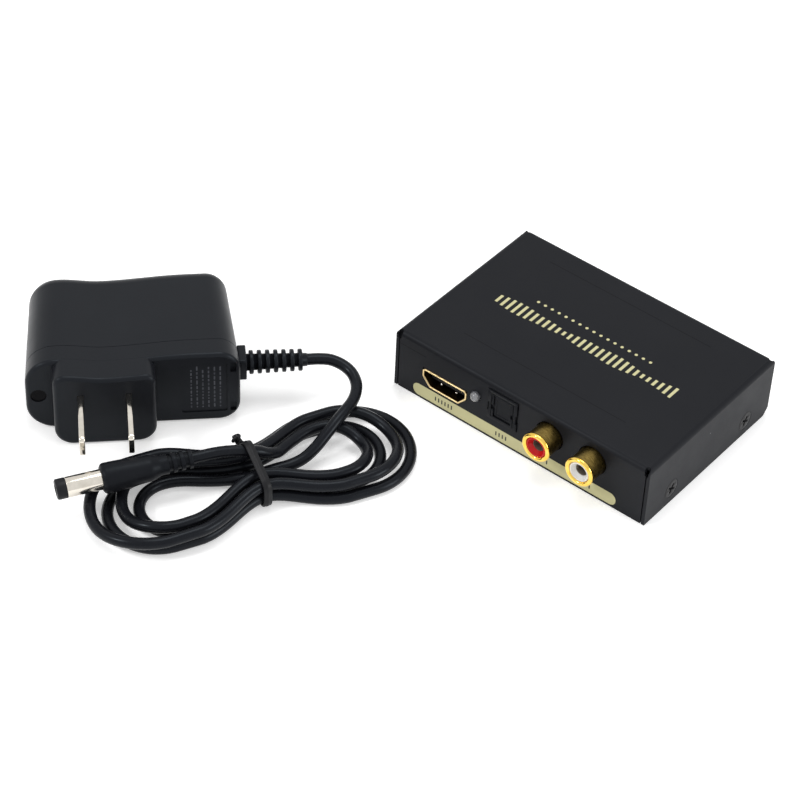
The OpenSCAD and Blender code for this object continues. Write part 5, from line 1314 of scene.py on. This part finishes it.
# printed band on the front, with plain marks under the ports, and bars on the top
band = {"left": -35.4, "right": 32.6, "low": 0.7, "high": 4.7, "thickness": 0.02,
        "marks": [(-24.9, 6), (-5.3, 4), (10.1, 1), (24.1, 1)], "markWidth": 0.42, "markHeight": 1.5}
bars = {"left": -29.0, "right": 29.0, "count": 30, "y": -0.5, "tallest": 5.2, "shortest": 1.6,
        "width": 0.85, "lineY": 5.4, "lineLeft": -20.0, "lineRight": 17.5, "dots": 17, "dot": 0.9,
        "thickness": 0.012, "faintLines": [(-27.4, 26.2, -18.2), (-28.1, 26.2, 21.3)],
        "faintWidth": 0.13, "frontLine": (-41, -31.5, 15.4)}


def pillMesh(name, width, height, thickness):
    radius = min(width, height) / 2
    outline = filleted([(-width / 2, -height / 2), (width / 2, -height / 2), (width / 2, height / 2),
                        (-width / 2, height / 2)], radius * 0.98, 10)
    return prismMesh(name, outline, 0, thickness, Matrix.Identity(4), 40)


def buildPrints():
    length, height = band["right"] - band["left"], band["high"] - band["low"]
    strip = pillMesh("bandPrint", length * mm, height * mm, band["thickness"] * mm)
    middleX, middleZ = (band["left"] + band["right"]) / 2, (band["low"] + band["high"]) / 2
    strip.transform(outward(middleX * mm, middleZ * mm))
    addObject("bandPrint", strip, "paleInk", "converter")
    places = []
    for x, count in band["marks"]:
        for k in range(count):
            across = x + (k - (count - 1) / 2) * 1.1
            place = outward(across * mm, middleZ * mm) @ Vector((0, 0, band["thickness"] * mm))
            places.append((place, (math.pi / 2, 0, 0), (1, 1, 1)))
    mark = pillMesh("markPattern", band["markWidth"] * mm, band["markHeight"] * mm, 0.008 * mm)
    addObject("bandMarks", copiesMesh("bandMarks", mark, places, "darkInk", 40), "darkInk", "converter")
    places = []
    for k in range(bars["count"]):
        s = k / (bars["count"] - 1)
        swing = abs(math.sin(2.2 * math.pi * s + 0.5)) * (0.55 + 0.45 * abs(math.sin(9.3 * s + 1)))
        tall = bars["shortest"] + (bars["tallest"] - bars["shortest"]) * swing
        x = bars["left"] + (bars["right"] - bars["left"]) * s
        places.append(((x * mm, bars["y"] * mm, enclosure["height"]), (0, 0, 0), (1, tall, 1)))
    half = bars["width"] / 2 * mm
    bar = boxMesh("barPattern", (-half, -0.5 * mm, 0), (half, 0.5 * mm, bars["thickness"] * mm))
    addObject("topBars", copiesMesh("topBars", bar, places, "paleInk", 40), "paleInk", "converter")
    places = []
    for k in range(bars["dots"]):
        x = bars["lineLeft"] + (bars["lineRight"] - bars["lineLeft"]) * k / (bars["dots"] - 1)
        places.append(((x * mm, bars["lineY"] * mm, enclosure["height"]), (0, 0, 0), (1, 1, 1)))
    dot = pillMesh("dotPattern", bars["dot"] * mm, bars["dot"] * 0.98 * mm, bars["thickness"] * mm)
    addObject("topDots", copiesMesh("topDots", dot, places, "paleInk", 40), "paleInk", "converter")
    # thin lines darker than the coat on the top and the front; the front one is painted shade of a faint
    # press line
    lines = []
    for left, right, y in bars["faintLines"]:
        line = pillMesh("faintPart", (right - left) * mm, bars["faintWidth"] * mm, bars["thickness"] / 2 * mm)
        line.transform(Matrix.Translation(((left + right) / 2 * mm, y * mm, enclosure["height"])))
        lines.append(line)
    left, right, z = bars["frontLine"]
    line = pillMesh("faintPart", (right - left) * mm, bars["faintWidth"] * mm, bars["thickness"] / 2 * mm)
    line.transform(outward((left + right) / 2 * mm, z * mm))
    lines.append(line)
    addObject("faintLines", joined("faintLines", lines), "faintLine", "converter")
    x, z = (adapter["labelX"] + 0.4 * mm), adapter["height"] / 2
    rows, chosen = adapter["labelRows"], random.Random(adapter["labelSeed"])
    strokes = []
    for k in range(rows):
        across = x + (k - (rows - 1) / 2) * adapter["labelPitch"]
        along, ends = z - adapter["labelHeight"] * 0.42, z + adapter["labelHeight"] * 0.42
        while along < ends - 0.5 * mm:
            long = chosen.uniform(0.5, 1.6) * mm
            stroke = pillMesh("strokePart", 0.42 * mm, long, 0.01 * mm)
            stroke.transform(inAdapter @ Matrix.Translation((across, adapter["labelDepth"], along + long / 2))
                             @ Matrix.Rotation(math.pi / 2, 4, "X"))
            strokes.append(stroke)
            along += long + 0.45 * mm
    addObject("labelStrokes", joined("labelStrokes", strokes), "greyInk", "power_adapter")
    print("scene: prints made")


buildPrints()


# finishes of the CAD parts that stay
keptFinishes = {
    "bottom_plate": "powderCoat", "circuit_board": "board", "board_spacers": "nickel",
    "board_screws": "nickel", "video_out_tongue": "blackMoulding", "video_out_contacts": "paintedShadeBronze",
    "video_in_tongue": "blackMoulding", "video_in_contacts": "paintedShadeBronze", "light_leads": "nickel",
    "shutter_pin": "nickel", "shutter_spring": "nickel", "optical_emitter": "emitterLens",
    "audio_socket_block": "blackMoulding",
    "power_socket_pin": "nickel", "power_socket_spring": "nickel", "mode_switch_frame": "nickel",
    "video_chip": "chipEpoxy", "audio_chips": "chipEpoxy", "electrolytic_capacitors": "canAluminium",
    "voltage_regulator": "chipEpoxy", "power_coil": "ferrite", "clock_crystal": "canAluminium",
    "chip_resistors": "chipEpoxy", "blade_springs": "brass", "adapter_board": "adapterPaper",
    "adapter_transformer": "transformerTape", "adapter_capacitors": "capacitorSleeve",
    "adapter_diodes": "chipEpoxy", "adapter_light_lens": "darkLens",
}
for nodeName, finishName in keptFinishes.items():
    mesh = nodes[nodeName].data
    mesh.materials.clear()
    mesh.materials.append(materials[finishName])
print("scene: CAD parts finished")


# floor, world and lamps
studio = {"floorTone": 0.95, "floorGlow": 0.36, "worldFill": 0.62, "background": 1.0}
lamps = [
    {"name": "overhead", "place": (-0.1, 0.1, 0.85), "size": 0.4, "power": 2.4, "aim": (-0.04, -0.04, 0)},
    {"name": "rightSide", "place": (0.75, 0.15, 0.3), "size": 0.35, "power": 2.6, "aim": (0, -0.02, 0)},
    {"name": "frontLeft", "place": (-0.42, -0.66, 0.56), "size": 0.16, "power": 2.6,
     "aim": (-0.03, -0.03, 0)},
]


def buildStudio():
    mesh = bpy.data.meshes.new("floor")
    reach, level = 3.0, -0.00002
    corners = [(x * reach, y * reach, level) for x, y in ((-1, -1), (1, -1), (1, 1), (-1, 1))]
    mesh.from_pydata(corners, [], [(0, 1, 2, 3)])
    floor = bpy.data.objects.new("floor", mesh)
    bpy.context.scene.collection.objects.link(floor)
    material = bpy.data.materials.new("floorPaper")
    material.use_nodes = True
    tree = material.node_tree
    shader = tree.nodes["Principled BSDF"]
    tone = studio["floorTone"]
    shader.inputs["Base Color"].default_value = (tone, tone, tone, 1)
    shader.inputs["Roughness"].default_value = 0.9
    shader.inputs["Specular IOR Level"].default_value = 0.0
    path = addNode(tree, "ShaderNodeLightPath")
    glow = addNode(tree, "ShaderNodeEmission", {"Strength": studio["floorGlow"]})
    nothing = addNode(tree, "ShaderNodeEmission", {"Strength": 0.0})
    pick = addNode(tree, "ShaderNodeMixShader")
    both = addNode(tree, "ShaderNodeAddShader")
    out = tree.nodes["Material Output"]
    link = tree.links.new
    seen = addNode(tree, "ShaderNodeMath", operation="MAXIMUM")
    seenAll = addNode(tree, "ShaderNodeMath", operation="MAXIMUM")
    link(path.outputs["Is Camera Ray"], seen.inputs[0])
    link(path.outputs["Is Glossy Ray"], seen.inputs[1])
    link(seen.outputs[0], seenAll.inputs[0])
    link(path.outputs["Is Transmission Ray"], seenAll.inputs[1])
    link(seenAll.outputs[0], pick.inputs[0])
    link(nothing.outputs[0], pick.inputs[1])
    link(glow.outputs[0], pick.inputs[2])
    link(shader.outputs[0], both.inputs[0])
    link(pick.outputs[0], both.inputs[1])
    link(both.outputs[0], out.inputs["Surface"])
    mesh.materials.append(material)
    world = bpy.data.worlds.new("studio")
    bpy.context.scene.world = world
    world.use_nodes = True
    tree = world.node_tree
    link = tree.links.new
    path = addNode(tree, "ShaderNodeLightPath")
    seen = addNode(tree, "ShaderNodeMath", operation="MAXIMUM")
    seenAll = addNode(tree, "ShaderNodeMath", operation="MAXIMUM")
    fill = addNode(tree, "ShaderNodeBackground", {"Color": (1, 1, 1, 1), "Strength": studio["worldFill"]})
    white = addNode(tree, "ShaderNodeBackground", {"Color": (1, 1, 1, 1), "Strength": studio["background"]})
    pick = addNode(tree, "ShaderNodeMixShader")
    link(path.outputs["Is Camera Ray"], seen.inputs[0])
    link(path.outputs["Is Glossy Ray"], seen.inputs[1])
    link(seen.outputs[0], seenAll.inputs[0])
    link(path.outputs["Is Transmission Ray"], seenAll.inputs[1])
    link(seenAll.outputs[0], pick.inputs[0])
    link(fill.outputs[0], pick.inputs[1])
    link(white.outputs[0], pick.inputs[2])
    out = [n for n in tree.nodes if n.type == "OUTPUT_WORLD"][0]
    link(pick.outputs[0], out.inputs["Surface"])
    for look in lamps:
        data = bpy.data.lights.new(look["name"], "AREA")
        data.energy = look["power"]
        data.size = look["size"]
        lamp = bpy.data.objects.new(look["name"], data)
        lamp.location = look["place"]
        way = Vector(look["aim"]) - Vector(look["place"])
        lamp.rotation_euler = way.to_track_quat("-Z", "Y").to_euler()
        bpy.context.scene.collection.objects.link(lamp)
    print("scene: studio made")


buildStudio()
bpy.context.scene.view_settings.view_transform = "Standard"
